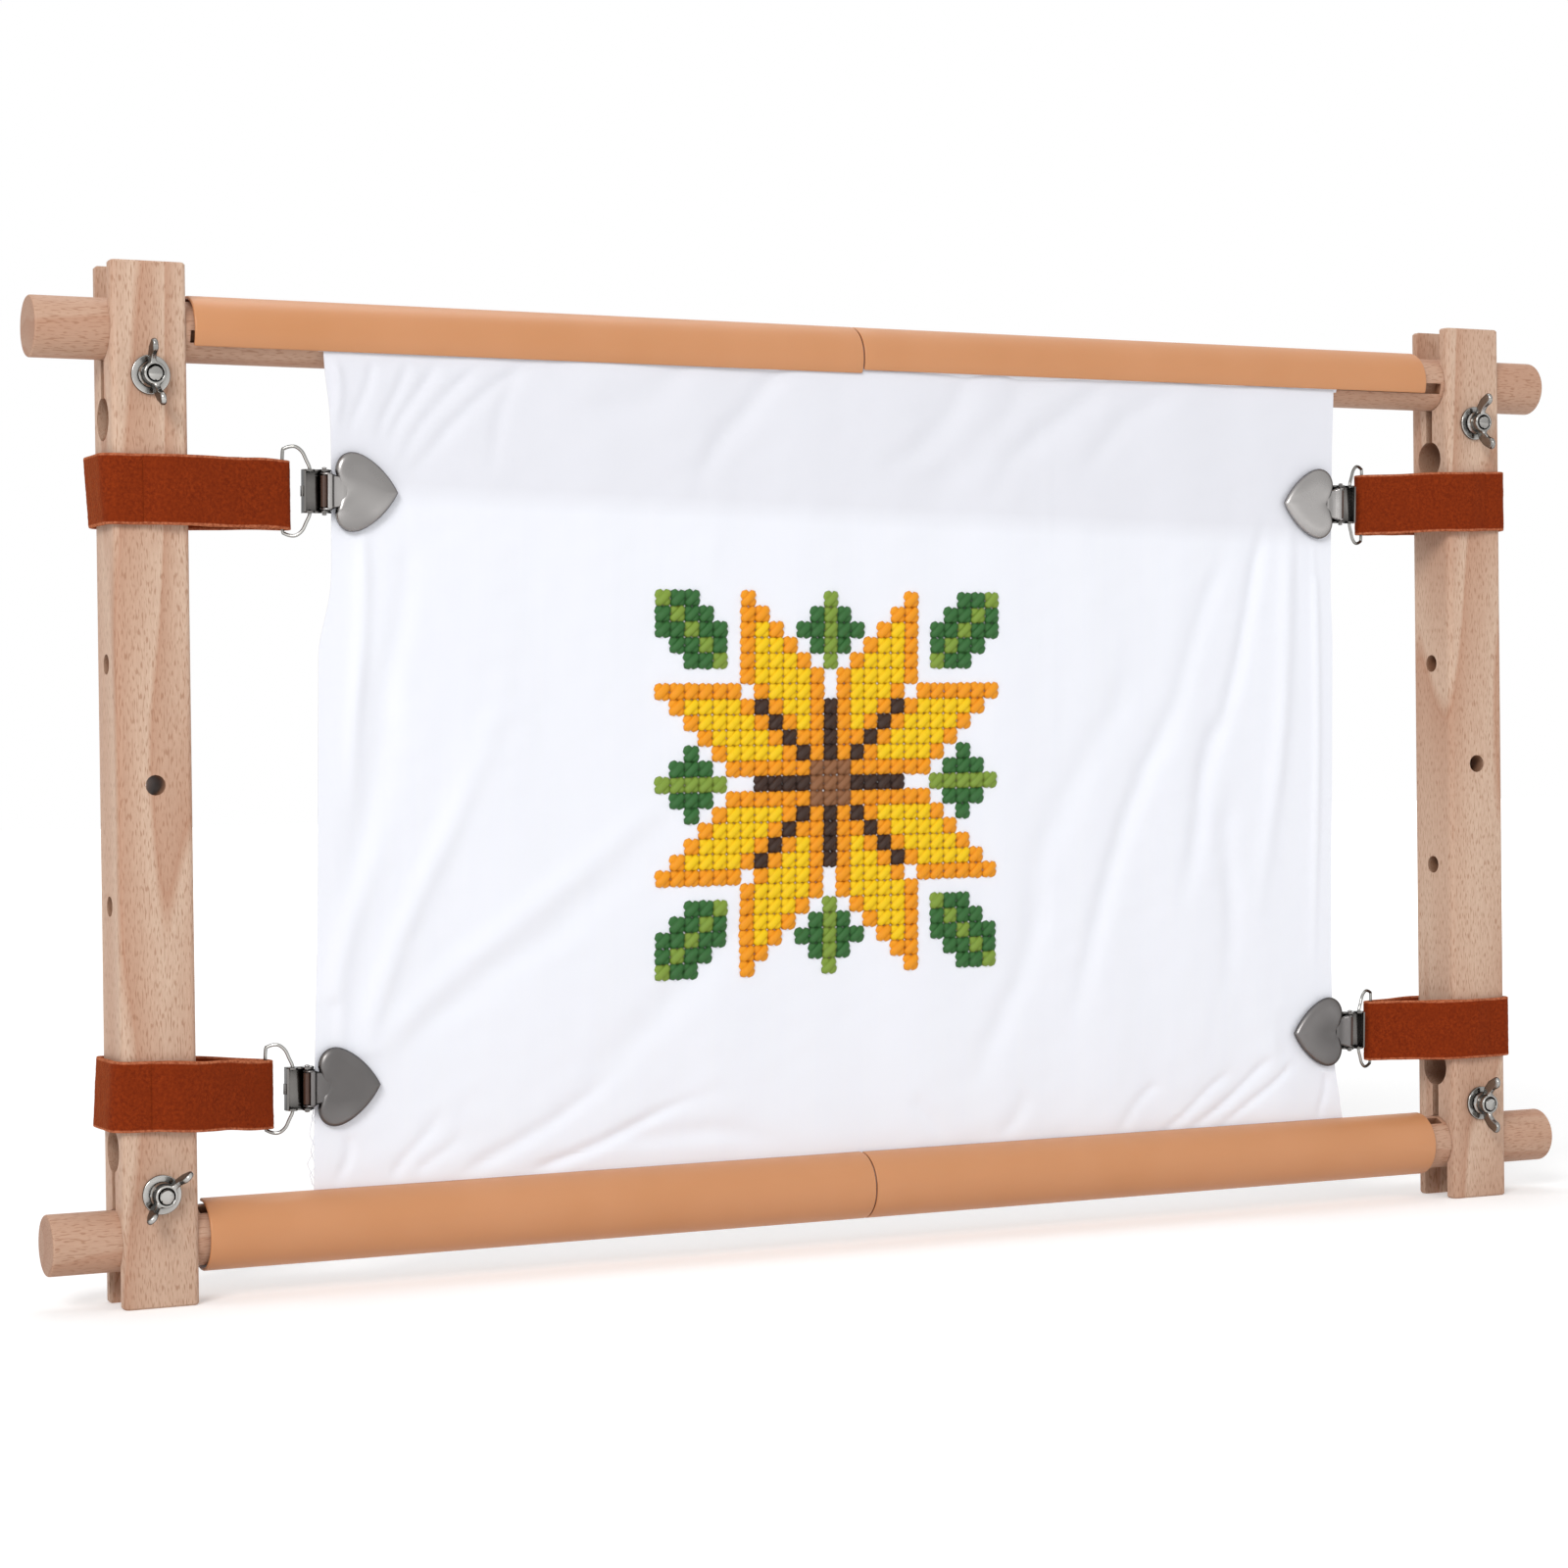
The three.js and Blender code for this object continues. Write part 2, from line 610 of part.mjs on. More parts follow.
// Clip body: a folded tray with a flange on each side, ears for the hinge pin and the wire loop, and
// a back jaw that lies behind the cloth
function clipBodyGeometry() {
  const backLevel = -(clothThickness / 2 + jawGap + clipSheet);
  const floor = slab(jawOutline(), clipSheet, axisX, axisZ);
  floor.translate(0, -(backLevel + clipSheet / 2), 0);
  let body = solidOf(floor);
  const flange = flangeOutline(backLevel);
  for (const side of [-1, 1]) {
    const sheet = slab(flange, clipSheet, axisX, forward, { curveSegments: 4 });
    sheet.translate(0, 0, side * (clipHalfHeight - clipSheet / 2));
    body = body.add(solidOf(sheet));
  }
  const wallHeight = clipEndWallLevel - backLevel;
  const wall = new THREE.BoxGeometry(clipSheet, wallHeight, 2 * clipHalfHeight - clipSheet);
  wall.translate(-clipBackLength + clipSheet / 2, -(backLevel + wallHeight / 2), 0);
  const tab = new THREE.BoxGeometry(2 * clipTabLength, wallHeight / 2, 2 * clipTabHalfHeight);
  tab.translate(-clipBackLength, -(backLevel + wallHeight / 2), 0);
  body = body.add(solidOf(wall)).add(solidOf(tab));
  const holeLength = 2 * clipHalfHeight + overrun;
  const pinHole = barZ(pinDiameter / 2 + pinClearance, holeLength, 14);
  pinHole.translate(0, -pinLevel, 0);
  const wireHole = barZ(wireDiameter / 2 + wireHoleClearance, holeLength, 14);
  wireHole.translate(-wireHoleDistance, -loopLevel, 0);
  return geometryOf(body.subtract(solidOf(pinHole)).subtract(solidOf(wireHole)));
}

// Seen from the front: the tray's floor, then the narrower back jaw with its round end
function jawOutline() {
  const wide = clipHalfHeight - clipSheet / 2;
  const end = jawHalfHeight * 0.9;
  const shape = new THREE.Shape();
  shape.moveTo(-clipBackLength, -wide);
  shape.lineTo(clipFlangeReach, -wide);
  shape.lineTo(clipFlangeReach + clipSheet, -jawHalfHeight);
  shape.lineTo(jawLength - end, -jawHalfHeight);
  shape.quadraticCurveTo(jawLength, -jawHalfHeight, jawLength, 0);
  shape.quadraticCurveTo(jawLength, jawHalfHeight, jawLength - end, jawHalfHeight);
  shape.lineTo(clipFlangeReach + clipSheet, jawHalfHeight);
  shape.lineTo(clipFlangeReach, wide);
  shape.lineTo(-clipBackLength, wide);
  return shape;
}

// Seen from the side, with levels upwards: a low end, an ear for the wire, a dip, an ear for the pin
function flangeOutline(backLevel) {
  const wireEar = wireDiameter / 2 + wireHoleClearance + clipSheet;
  const dip = clipFlangeLevel - clipSheet;
  const shape = new THREE.Shape();
  shape.moveTo(-clipBackLength, backLevel);
  shape.lineTo(clipFlangeReach, backLevel);
  shape.lineTo(clipFlangeReach, dip);
  shape.lineTo(clipEarRadius, clipFlangeLevel);
  shape.absarc(0, pinLevel, clipEarRadius, 0, Math.PI, false);
  shape.lineTo(-clipEarRadius, dip);
  shape.lineTo(-wireHoleDistance + wireEar, dip);
  shape.absarc(-wireHoleDistance, loopLevel, wireEar, 0, Math.PI, false);
  shape.lineTo(-clipBackLength, loopLevel);
  return shape;
}

function pinGeometry() {
  const half = clipHalfHeight + insertSideGap + pinHeadLength;
  const [shank, head] = [pinDiameter / 2, pinHeadDiameter / 2];
  const shoulder = half - pinHeadLength;
  const profile = [
    new THREE.Vector2(0, -half),
    new THREE.Vector2(shank, -half),
    new THREE.Vector2(head, -half + pinHeadLength / 2),
    new THREE.Vector2(head, -shoulder),
    new THREE.Vector2(shank, -shoulder),
    new THREE.Vector2(shank, shoulder),
    new THREE.Vector2(head, shoulder),
    new THREE.Vector2(head, half - pinHeadLength / 2),
    new THREE.Vector2(shank, half),
    new THREE.Vector2(0, half),
  ];
  return new THREE.LatheGeometry(profile, 10).rotateX(Math.PI / 2).translate(0, -pinLevel, 0);
}

// Heart seen from the front, with its tip at +X and a shallow notch at the neck. The shares are of
// its length, and of half its height where the name says so.
const crownShare = 0.27;
const crownEaseShare = 0.15;
const flankEaseShare = 0.22;
const tipEaseShare = 0.16;
const shoulderHeightShare = 0.52;
const lobeHeightShare = 0.8;
const tipHeightShare = 0.54;

function heartOutline() {
  const top = heartHeight / 2;
  const length = heartTip - heartLobe;
  const crown = heartLobe + length * crownShare;
  const before = crown - length * crownEaseShare;
  const after = crown + length * flankEaseShare;
  const nearTip = heartTip - length * tipEaseShare;
  const shape = new THREE.Shape();
  shape.moveTo(heartNotch, 0);
  shape.lineTo(heartLobe, -top * shoulderHeightShare);
  shape.bezierCurveTo(heartLobe, -top * lobeHeightShare, before, -top, crown, -top);
  shape.bezierCurveTo(after, -top, nearTip, -top * tipHeightShare, heartTip, 0);
  shape.bezierCurveTo(nearTip, top * tipHeightShare, after, top, crown, top);
  shape.bezierCurveTo(before, top, heartLobe, top * lobeHeightShare, heartLobe, top * shoulderHeightShare);
  return shape;
}

// A domed half of a heart: its edge is rounded over forwards, and it is cut flat at the rim
function heartHalf(inset, depth) {
  const flat = depth - heartBevelDepth;
  const blank = slab(heartOutline(), 2 * flat, axisX, axisZ, {
    bevelEnabled: true, bevelThickness: heartBevelDepth, bevelSize: heartBevelWidth,
    bevelOffset: -heartBevelWidth - inset, bevelSegments: 2, curveSegments: 5,
  });
  blank.translate(0, -heartRimLevel, 0);
  const span = 2 * heartHeight;
  const behind = new THREE.BoxGeometry(span, span, span).translate(0, span / 2 - heartRimLevel, 0);
  return solidOf(blank).subtract(solidOf(behind));
}

// Heart lever: a domed shell, a ridged neck and two ears on the hinge pin
function leverGeometry() {
  const shell = heartHalf(0, heartDome).subtract(heartHalf(clipSheet, heartDome - clipSheet));
  const inside = clipHalfHeight - clipSheet - leverSideGap;
  const neck = slab(neckOutline(), 2 * inside, axisX, forward);
  let lever = shell.add(solidOf(neck));
  for (const side of [-1, 1]) {
    const ear = barZ(earRadius, clipSheet, 18).translate(0, -pinLevel, 0);
    const web = new THREE.BoxGeometry(neckRidgeLength, neckLevel - pinLevel + clipSheet / 2, clipSheet);
    web.translate(neckStart + neckRidgeLength / 2, -(pinLevel + neckLevel + clipSheet / 2) / 2, 0);
    const cheek = solidOf(ear).add(solidOf(web)).translate(0, 0, side * (inside - clipSheet / 2));
    lever = lever.add(cheek);
  }
  const hole = barZ(pinDiameter / 2 + pinClearance, 2 * clipHalfHeight, 14).translate(0, -pinLevel, 0);
  return geometryOf(lever.subtract(solidOf(hole)));
}

// The neck seen from the side: a rounded ridge over the pin that steps down to the heart
function neckOutline() {
  const ridgeEnd = neckStart + neckRidgeLength;
  const joined = heartNotch + clipSheet;
  const low = neckLevel - neckStep;
  return new THREE.Shape([
    new THREE.Vector2(neckStart, neckLevel),
    new THREE.Vector2(ridgeEnd - clipSheet / 2, neckLevel),
    new THREE.Vector2(ridgeEnd + clipSheet / 2, low),
    new THREE.Vector2(joined, low),
    new THREE.Vector2(joined, low + clipSheet),
    new THREE.Vector2(ridgeEnd + clipSheet, low + clipSheet),
    new THREE.Vector2(ridgeEnd, neckLevel + clipSheet * 0.75),
    new THREE.Vector2(ridgeEnd - clipSheet, neckLevel + clipSheet),
    new THREE.Vector2(neckStart + clipSheet / 2, neckLevel + clipSheet),
    new THREE.Vector2(neckStart, neckLevel + clipSheet / 2),
  ]);
}

// Plastic insert on the pin, between the lever's ears: a sleeve with a toothed nose over the cloth
function insertGeometry() {
  const half = clipHalfHeight - 2 * clipSheet - leverSideGap - insertSideGap;
  const sleeve = barZ(insertRadius, 2 * half, 20).translate(0, -pinLevel, 0);
  const nose = slab(noseOutline(), 2 * half, axisX, forward);
  const hole = barZ(pinDiameter / 2 + pinClearance, 2 * half + overrun, 14).translate(0, -pinLevel, 0);
  return geometryOf(solidOf(sleeve).add(solidOf(nose)).subtract(solidOf(hole)));
}

function noseOutline() {
  const floor = clothThickness / 2 + jawGap;
  const roof = heartRimLevel - insertSideGap;
  const tooth = (insertNoseLength - clothInJaw) / insertTeeth;
  const points = [new THREE.Vector2(0, pinLevel - insertRadius)];
  for (let i = 0; i < insertTeeth; i += 1) {
    points.push(new THREE.Vector2(clothInJaw + tooth * i, floor + toothHeight));
    points.push(new THREE.Vector2(clothInJaw + tooth * (i + 0.5), floor));
  }
  points.push(new THREE.Vector2(insertNoseLength, floor + toothHeight));
  points.push(new THREE.Vector2(insertNoseLength, roof));
  points.push(new THREE.Vector2(earRadius, roof));
  points.push(new THREE.Vector2(insertRadius * 0.7, pinLevel));
  points.push(new THREE.Vector2(0, pinLevel));
  return new THREE.Shape(points);
}

// The stretched cloth. Creases run from the clips and down the sides; each row gives where one
// starts and ends, as shares of the sheet's half width and half height, and its share of the height.
const creaseShares = [
  [-0.86, -0.72, -0.42, -0.5, 0.9],
  [-0.6, -0.92, -0.24, -0.72, 0.7],
  [-0.84, 0.6, -0.5, 0.28, 0.6],
  [-0.78, 0.36, -0.8, -0.42, 0.7],
  [-0.66, 0.08, -0.76, -0.6, 0.6],
  [0.86, 0.62, 0.72, 0.02, 0.9],
  [0.84, 0.8, 0.5, 0.5, 0.5],
  [0.86, -0.68, 0.55, -0.94, 1],
  [0.6, -0.55, 0.34, -0.88, 0.6],
  [0.74, -0.05, 0.7, -0.6, 0.5],
];

function creaseRise(x, z, halfWidth, halfHeight) {
  let rise = 0;
  for (const [x0, z0, x1, z1, share] of creaseShares) {
    const start = new THREE.Vector2(x0 * halfWidth, z0 * halfHeight);
    const along = new THREE.Vector2(x1 * halfWidth, z1 * halfHeight).sub(start);
    const from = new THREE.Vector2(x, z).sub(start);
    const place = from.dot(along) / along.lengthSq();
    const away = Math.abs(from.cross(along)) / along.length() / creaseHalfWidth;
    const fade = ease(place, -0.1, 0.25) * ease(place, 1.15, 0.6);
    rise += share * creaseHeight * Math.exp(-away * away) * fade;
  }
  return rise;
}

// The side edge bows between the clips, is held straight where a clip can slide, over whole rows of the
// mesh, and flares at the foot
function clothEdge(z, side, rowHeight) {
  const free = side < 0 ? clothLeftReach : clothRightReach;
  let reach = free;
  for (const corner of corners.filter((item) => item.side === side)) {
    const held = corner.end * corner.height;
    const inner = held - corner.end * (strapTravelIn + clipHalfHeight + rowHeight);
    const outer = held + corner.end * (strapTravelOut + clipHalfHeight + rowHeight);
    const easing = 2 * clipHalfHeight;
    const hold = ease(corner.end * z, corner.end * inner - easing, corner.end * inner)
      * ease(corner.end * z, corner.end * outer + easing, corner.end * outer);
    reach += hold * (corner.pin - clothInJaw - free);
  }
  const foot = clothHeightAt(coverOuterRadius + clothEndClearance, -1);
  if (side > 0) reach += clothFlare * ease(z, foot + clothFlare * 3, foot);
  return side * reach;
}

function clothGeometry() {
  const [columns, rows] = [25, 14];
  const top = clothHeightAt(coverOuterRadius + clothEndClearance, 1);
  const foot = clothHeightAt(coverOuterRadius + clothEndClearance, -1);
  const halfHeight = (top - foot) / 2;
  const rowHeight = (top - foot) / rows;
  const flatEdge = jawLength + 2 * insertNoseLength - clothInJaw;
  const position = [];
  for (const face of [-1, 1]) {
    for (let j = 0; j <= rows; j += 1) {
      const z = foot + rowHeight * j;
      const [left, right] = [clothEdge(z, -1, rowHeight), clothEdge(z, 1, rowHeight)];
      for (let i = 0; i <= columns; i += 1) {
        const x = left + (right - left) * i / columns;
        const inset = Math.min(x - left, right - x);
        const calm = ease(inset, flatEdge, 1.5 * flatEdge) * ease(Math.min(z - foot, top - z), 0, flatEdge);
        const rise = calm * creaseRise(x, z, (right - left) / 2, halfHeight);
        position.push(x, clothDepth(z) - rise + face * clothThickness / 2, z);
      }
    }
  }
  return closedSheet(position, columns, rows);
}

// Two grids of points, front then back, joined round their edges
function closedSheet(position, columns, rows) {
  const wide = columns + 1;
  const back = wide * (rows + 1);
  const index = [];
  const quad = (a, b, c, d) => index.push(a, b, c, a, c, d);
  for (let j = 0; j < rows; j += 1) {
    for (let i = 0; i < columns; i += 1) {
      const a = j * wide + i;
      quad(a, a + 1, a + wide + 1, a + wide);
      quad(back + a, back + a + wide, back + a + wide + 1, back + a + 1);
    }
  }
  for (let i = 0; i < columns; i += 1) {
    const high = rows * wide + i;
    quad(i, back + i, back + i + 1, i + 1);
    quad(high, high + 1, back + high + 1, back + high);
  }
  for (let j = 0; j < rows; j += 1) {
    const left = j * wide;
    const right = left + columns;
    quad(left, left + wide, back + left + wide, back + left);
    quad(right, back + right, back + right + wide, right + wide);
  }
  const geometry = new THREE.BufferGeometry();
  geometry.setAttribute("position", new THREE.Float32BufferAttribute(position, 3));
  geometry.setIndex(index);
  geometry.computeVertexNormals();
  return geometry;
}

// Assembly. The group's middle is the rails' mid-height and mid-depth.
const scrollFrame = new THREE.Group();
const middle = new THREE.Group();
middle.position.set(0, depthShift, railHeight / 2);
scrollFrame.add(middle);

for (const [name, side] of [["left_rail", -1], ["right_rail", 1]]) {
  place(railGeometry(), name, beech, middle).position.x = side * railPitch / 2;
}

function addRoller(name, end, shift, grooveAngle) {
  const group = new THREE.Group();
  group.position.z = end * rollerHeight;
  middle.add(group);
  place(rollerGeometry(shift, grooveAngle), name, beech, group);
  return group;
}

function addCover(name, angle, side, direction, seam, group) {
  const cover = place(coverGeometry(angle, direction), name, coverPlastic, group);
  cover.position.x = seam + side * (coverLength + coverSeamGap) / 2;
}

const topGroup = addRoller("top_roller", 1, topRollerShift, topGrooveAngle);
addCover("top_left_cover", topLeftCoverAngle, -1, 1, topCoverSeam, topGroup);
addCover("top_right_cover", topRightCoverAngle, 1, 1, topCoverSeam, topGroup);
const bottomGroup = addRoller("bottom_roller", -1, bottomRollerShift, bottomGrooveAngle);
addCover("bottom_left_cover", bottomLeftCoverAngle, -1, -1, bottomCoverSeam, bottomGroup);
addCover("bottom_right_cover", bottomRightCoverAngle, 1, -1, bottomCoverSeam, bottomGroup);

const wrapMiddle = (clothRightReach - clothLeftReach) / 2;
const topWrap = wrapGeometry(topLeftCoverAngle, 1);
place(topWrap, "cloth_top_wrap", clothWhite, topGroup).position.x = wrapMiddle;
const bottomWrap = wrapGeometry(bottomLeftCoverAngle, -1);
place(bottomWrap, "cloth_bottom_wrap", clothWhite, bottomGroup).position.x = wrapMiddle;
place(clothGeometry(), "cloth_sheet", clothWhite, middle);

function addClamp({ name, side, end, nutAngle }) {
  const group = new THREE.Group();
  group.position.set(side * railPitch / 2, 0, end * boltHeight);
  middle.add(group);
  const front = -railDepth / 2;
  place(boltGeometry(), `${name}_bolt`, zincSteel, group).position.y = railDepth / 2 + seatGap;
  const washer = place(washerGeometry(), `${name}_washer`, zincSteel, group);
  washer.position.y = front - seatGap - washerThickness / 2;
  const nut = place(nutGeometry(), `${name}_wing_nut`, zincSteel, group);
  nut.position.y = front - nutSeat;
  nut.rotation.y = radians(nutAngle - 90);
}

// The strap stands upright on its rail; the clip lies along the cloth, and those on the right are
// turned round so that their jaws point to the middle too
function addTensioner({ name, side, end, pin, height, strapOffset }) {
  const z = end * height;
  const turned = side > 0 ? Math.PI : 0;
  const strap = new THREE.Group();
  strap.position.set(side * railPitch / 2, 0, z + strapOffset);
  strap.rotation.y = turned;
  middle.add(strap);
  const arm = barDistance - wireHoleDistance;
  const barReach = railPitch / 2 - pin - wireHoleDistance - arm * Math.cos(radians(loopTilt));
  const barDepth = clothDepth(z) - loopLevel + arm * Math.sin(radians(loopTilt));
  const slack = side > 0 ? rightStrapSlack : leftStrapSlack;
  place(strapGeometry(barReach, barDepth, slack), `${name}_strap`, strapVelvet, strap);
  const clip = new THREE.Group();
  clip.position.set(side * pin, clothDepth(z), z);
  clip.rotation.set(clothTilt, turned, 0);
  middle.add(clip);
  place(loopGeometry(), `${name}_wire_loop`, loopSteel, clip);
  place(clipBodyGeometry(), `${name}_clip_body`, clipSteel, clip);
  place(pinGeometry(), `${name}_clip_pin`, clipSteel, clip);
  place(insertGeometry(), `${name}_clip_insert`, insertPlastic, clip);
  place(leverGeometry(), `${name}_heart_lever`, clipSteel, clip);
}

for (const corner of corners) {
  addClamp(corner);
  addTensioner(corner);
}

export default scrollFrame;
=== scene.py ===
import json
from functools import partial
from math import asin, atan2, cos, hypot, pi, radians, sin, sqrt, tau

import bmesh
import bpy
import numpy as np
from mathutils import Matrix, Vector


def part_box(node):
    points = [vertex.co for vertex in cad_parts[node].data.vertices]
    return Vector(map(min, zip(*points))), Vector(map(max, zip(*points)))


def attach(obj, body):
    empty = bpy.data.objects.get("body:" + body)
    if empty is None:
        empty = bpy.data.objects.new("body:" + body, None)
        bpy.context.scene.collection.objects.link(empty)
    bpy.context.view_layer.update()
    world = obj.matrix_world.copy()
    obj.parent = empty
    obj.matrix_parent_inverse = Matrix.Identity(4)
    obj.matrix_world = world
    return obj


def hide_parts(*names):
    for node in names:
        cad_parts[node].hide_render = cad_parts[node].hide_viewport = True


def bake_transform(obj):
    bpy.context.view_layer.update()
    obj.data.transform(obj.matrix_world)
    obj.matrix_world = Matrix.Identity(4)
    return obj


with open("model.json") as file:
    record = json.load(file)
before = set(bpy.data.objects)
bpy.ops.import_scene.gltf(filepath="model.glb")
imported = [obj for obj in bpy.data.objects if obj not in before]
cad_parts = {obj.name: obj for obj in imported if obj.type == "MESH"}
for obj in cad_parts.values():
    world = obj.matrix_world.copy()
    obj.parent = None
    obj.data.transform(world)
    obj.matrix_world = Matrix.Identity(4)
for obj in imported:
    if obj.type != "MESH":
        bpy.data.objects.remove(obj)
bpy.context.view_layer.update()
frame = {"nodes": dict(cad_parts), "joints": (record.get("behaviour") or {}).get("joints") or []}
MM = 0.001

# Sizes that the photograph and the record give, in metres
COVER_WALL = 1.45 * MM
COVER_CLEARANCE = 0.3 * MM
COVER_SPAN = radians(210)
TOP_LEFT_COVER = radians(-25.5)
TOP_RIGHT_COVER = radians(-19.5)
BOTTOM_LEFT_COVER = radians(94)
BOTTOM_RIGHT_COVER = radians(90)
WRAP_CLEARANCE = 0.2 * MM
WRAP_THICKNESS = 0.35 * MM
WRAP_LIP = radians(5)
WRAP_TAIL = radians(12)
ROLLER_ROUNDING = 1.0 * MM
GROOVE_WIDTH = 4.9 * MM
GROOVE_DEPTH = 4 * MM
GROOVE_END_GAP = 2 * MM
TOP_GROOVE = radians(-14)
BOTTOM_GROOVE = radians(63)
CLOTH_THICKNESS = 0.4 * MM
CLOTH_FROM_PIN = 3.6 * MM
FOLD_DEPTH = 1.5
FOLD_WIDTH = 0.85
STRAP_THICKNESS = 1.5 * MM
STRAP_CLEARANCE = 1.05 * MM
STRAP_LAYER_GAP = 0.3 * MM
LEFT_STRAP_SLACK = 4.2 * MM
RIGHT_STRAP_SLACK = 2.5 * MM
STRAP_CORNER = 5 * MM
STRAP_SLANTS = {"upper_left": 0.9 * MM, "lower_left": -0.8 * MM, "upper_right": 0, "lower_right": 0}
# How far each strap hangs above its middle (mm): at the rail's outer side and at the loop
STRAP_RISES = {
    "upper_left": (0.8, 0.4), "lower_left": (1.5, -2.6),
    "upper_right": (1.9, -0.8), "lower_right": (0.8, 0.7),
}
TAIL_TAPER = 9 * MM
STRAP_TAIL = 24 * MM
STRAP_FOLD_GAP = 0.9 * MM
WIRE_RADIUS = 0.7 * MM
CLIP_SHEET = 0.8 * MM
CLIP_HALF_HEIGHT = 8.65 * MM
LOOP_LEVEL = 1.2 * MM
LOOP_TILT = radians(25)
PIN_LEVEL = 2.2 * MM
BAR_DISTANCE = 16.5 * MM
WIRE_HOLE_DISTANCE = 5.8 * MM
LOOP_HALF_HEIGHT = 17.6 * MM
LOOP_CORNER = 3 * MM
THREAD_PITCH = 1 * MM
HEM_HEIGHT = 312 * MM
STITCH_PITCH = 6.5 * MM
COTTON_PITCH = 0.5 * MM
STRAND_PITCH = 0.75 * MM
STITCH_CENTRE = Vector((-18.7 * MM, 0, 198.8 * MM))
SAME_PLACE = 0.002 * MM

CORNERS = [
    ("upper_left", -1, 1), ("lower_left", -1, -1), ("upper_right", 1, 1), ("lower_right", 1, -1),
]


# Materials

def colour(text):
    """The linear colour of an sRGB hex value."""
    part = np.array([int(text[i:i + 2], 16) for i in (1, 3, 5)]) / 255
    line = np.where(part <= 0.04045, part / 12.92, ((part + 0.055) / 1.055) ** 2.4)
    return (*line.tolist(), 1.0)


def add(tree, kind, *values, give=None, **more):
    """Adds a shader node and gives its first output in use, or the one that give names.

    The values go to its inputs in order, capitalised names to the inputs called so, and small names to
    its own settings. A value is a number, a hex colour or another node's output."""
    made = tree.nodes.new("ShaderNode" + kind)
    if kind == "Mix":
        made.data_type = "RGBA"
    for name in [name for name in more if name.islower()]:
        setattr(made, name, more.pop(name))
    named = [(made.inputs[name.replace("_", " ")], value) for name, value in more.items()]
    for socket, value in [*zip([s for s in made.inputs if s.enabled], values), *named]:
        if isinstance(value, bpy.types.NodeSocket):
            tree.links.new(value, socket)
        else:
            socket.default_value = colour(value) if isinstance(value, str) else value
    return made.outputs[give] if give is not None else next((s for s in made.outputs if s.enabled), None)


def material(name, slot, surface, *details):
    """A material, whose surface a function makes of its nodes, and the record's slot that it fills."""
    made = bpy.data.materials.new(name)
    made.use_nodes = True
    made.node_tree.nodes.clear()
    node = partial(add, made.node_tree)
    node("OutputMaterial", Surface=surface(node, *details))
    return made, slot


def beech(node, grain, figure, stretch, dash, centre):
    """Sanded beech, unvarnished: pinkish tan with pale growth arches, brown flecks, darker end grain and
    painted shade in its bores and kerfs.

    grain points along the wood and figure is how strong its arches are. stretch and dash scale the
    pattern along the grain: long for growth rings, short for flecks."""
    place = node("TexCoord", give="Object")
    along = node("Mapping", Vector=place, Location=centre, Scale=stretch)
    short = node("Mapping", Vector=place, Location=centre, Scale=dash)
    # Growth rings are steps of one slow noise: each starts pale at a crisp line and darkens
    slow = node("TexNoise", Vector=along, Scale=22, Detail=1.5, Roughness=0.35)
    many = node("Math", slow, 7.0, operation="MULTIPLY")
    ring = node("Math", many, operation="FRACT")
    pale = node("MapRange", ring, 0.0, 0.14)
    late = node("MapRange", ring, 0.15, 1.0, figure, 0.2 * figure)
    light = node("Math", pale, late, operation="MULTIPLY")
    # Fibres 0.6 mm apart, flecks 0.5 mm wide and 3 mm long
    fibre = node("TexNoise", Vector=along, Scale=1600, Detail=2)
    fleck = node("TexNoise", Vector=short, Scale=1900, Detail=0.3)
    dark = node("MapRange", fleck, 0.56, 0.7, 0.0, 0.5)
    line = node("MapRange", fibre, 0.3, 0.7, 0.0, 0.35)
    base = node("Mix", light, "#be9177", "#dabda6")
    lined = node("Mix", line, base, "#b78c74")
    grained = node("Mix", dark, lined, "#976546")
    facing = node("TexCoord", give="Normal")
    towards = node("VectorMath", facing, grain, operation="DOT_PRODUCT")
    squarely = node("Math", towards, operation="ABSOLUTE")
    ended = node("MapRange", squarely, 0.75, 0.95)
    sawn = node("Mix", ended, grained, "#e8e4e2", blend_type="MULTIPLY")
    # Painted shade: bores and kerfs, which are cut across the grain, and other hollows of the piece are
    # darkened to brown where they see little open sky
    hollow_sky = node("AmbientOcclusion", Distance=20 * MM, only_local=True, samples=6, give="AO")
    cut = node("MapRange", hollow_sky, 0.3, 0.7, 0.85, 0.0)
    flecked_and_shaded = node("Mix", cut, sawn, "#7f5539")
    bump = node("Bump", Strength=0.25, Distance=0.15 * MM, Height=fibre)
    return node("BsdfPrincipled", Base_Color=flecked_and_shaded, Roughness=0.6, IOR=1.5, Specular_IOR_Level=0.3,
                Normal=bump)


def cover_plastic(node):
    """Extruded soft vinyl, peach coloured: a satin skin with faint lines along the extrusion, and painted
    shade on its edges next to the wood.
    """
    place = node("TexCoord", give="Object")
    along = node("Mapping", Vector=place, Scale=(0.02, 1, 1))
    line = node("TexNoise", Vector=along, Scale=700, Detail=2)
    cloud = node("TexNoise", Vector=place, Scale=26, Detail=2)
    base = node("Mix", cloud, "#d4966a", "#ca8b5b")
    bump = node("Bump", Strength=0.06, Distance=0.1 * MM, Height=line)
    # Painted shade: the cut edges lie close to the wood, where little light reaches them, and are darkened
    # to brown there
    open_sky = node("AmbientOcclusion", Distance=5 * MM, samples=6, give="AO")
    shaded = node("MapRange", open_sky, 0.35, 0.75, 0.8, 0.0)
    edged = node("Mix", shaded, base, "#7c3f22")
    return node("BsdfPrincipled", Base_Color=edged, Roughness=0.42, IOR=1.52, Specular_IOR_Level=0.4,
                Subsurface_Weight=0.08, Subsurface_Radius=(0.004, 0.002, 0.001), Normal=bump)


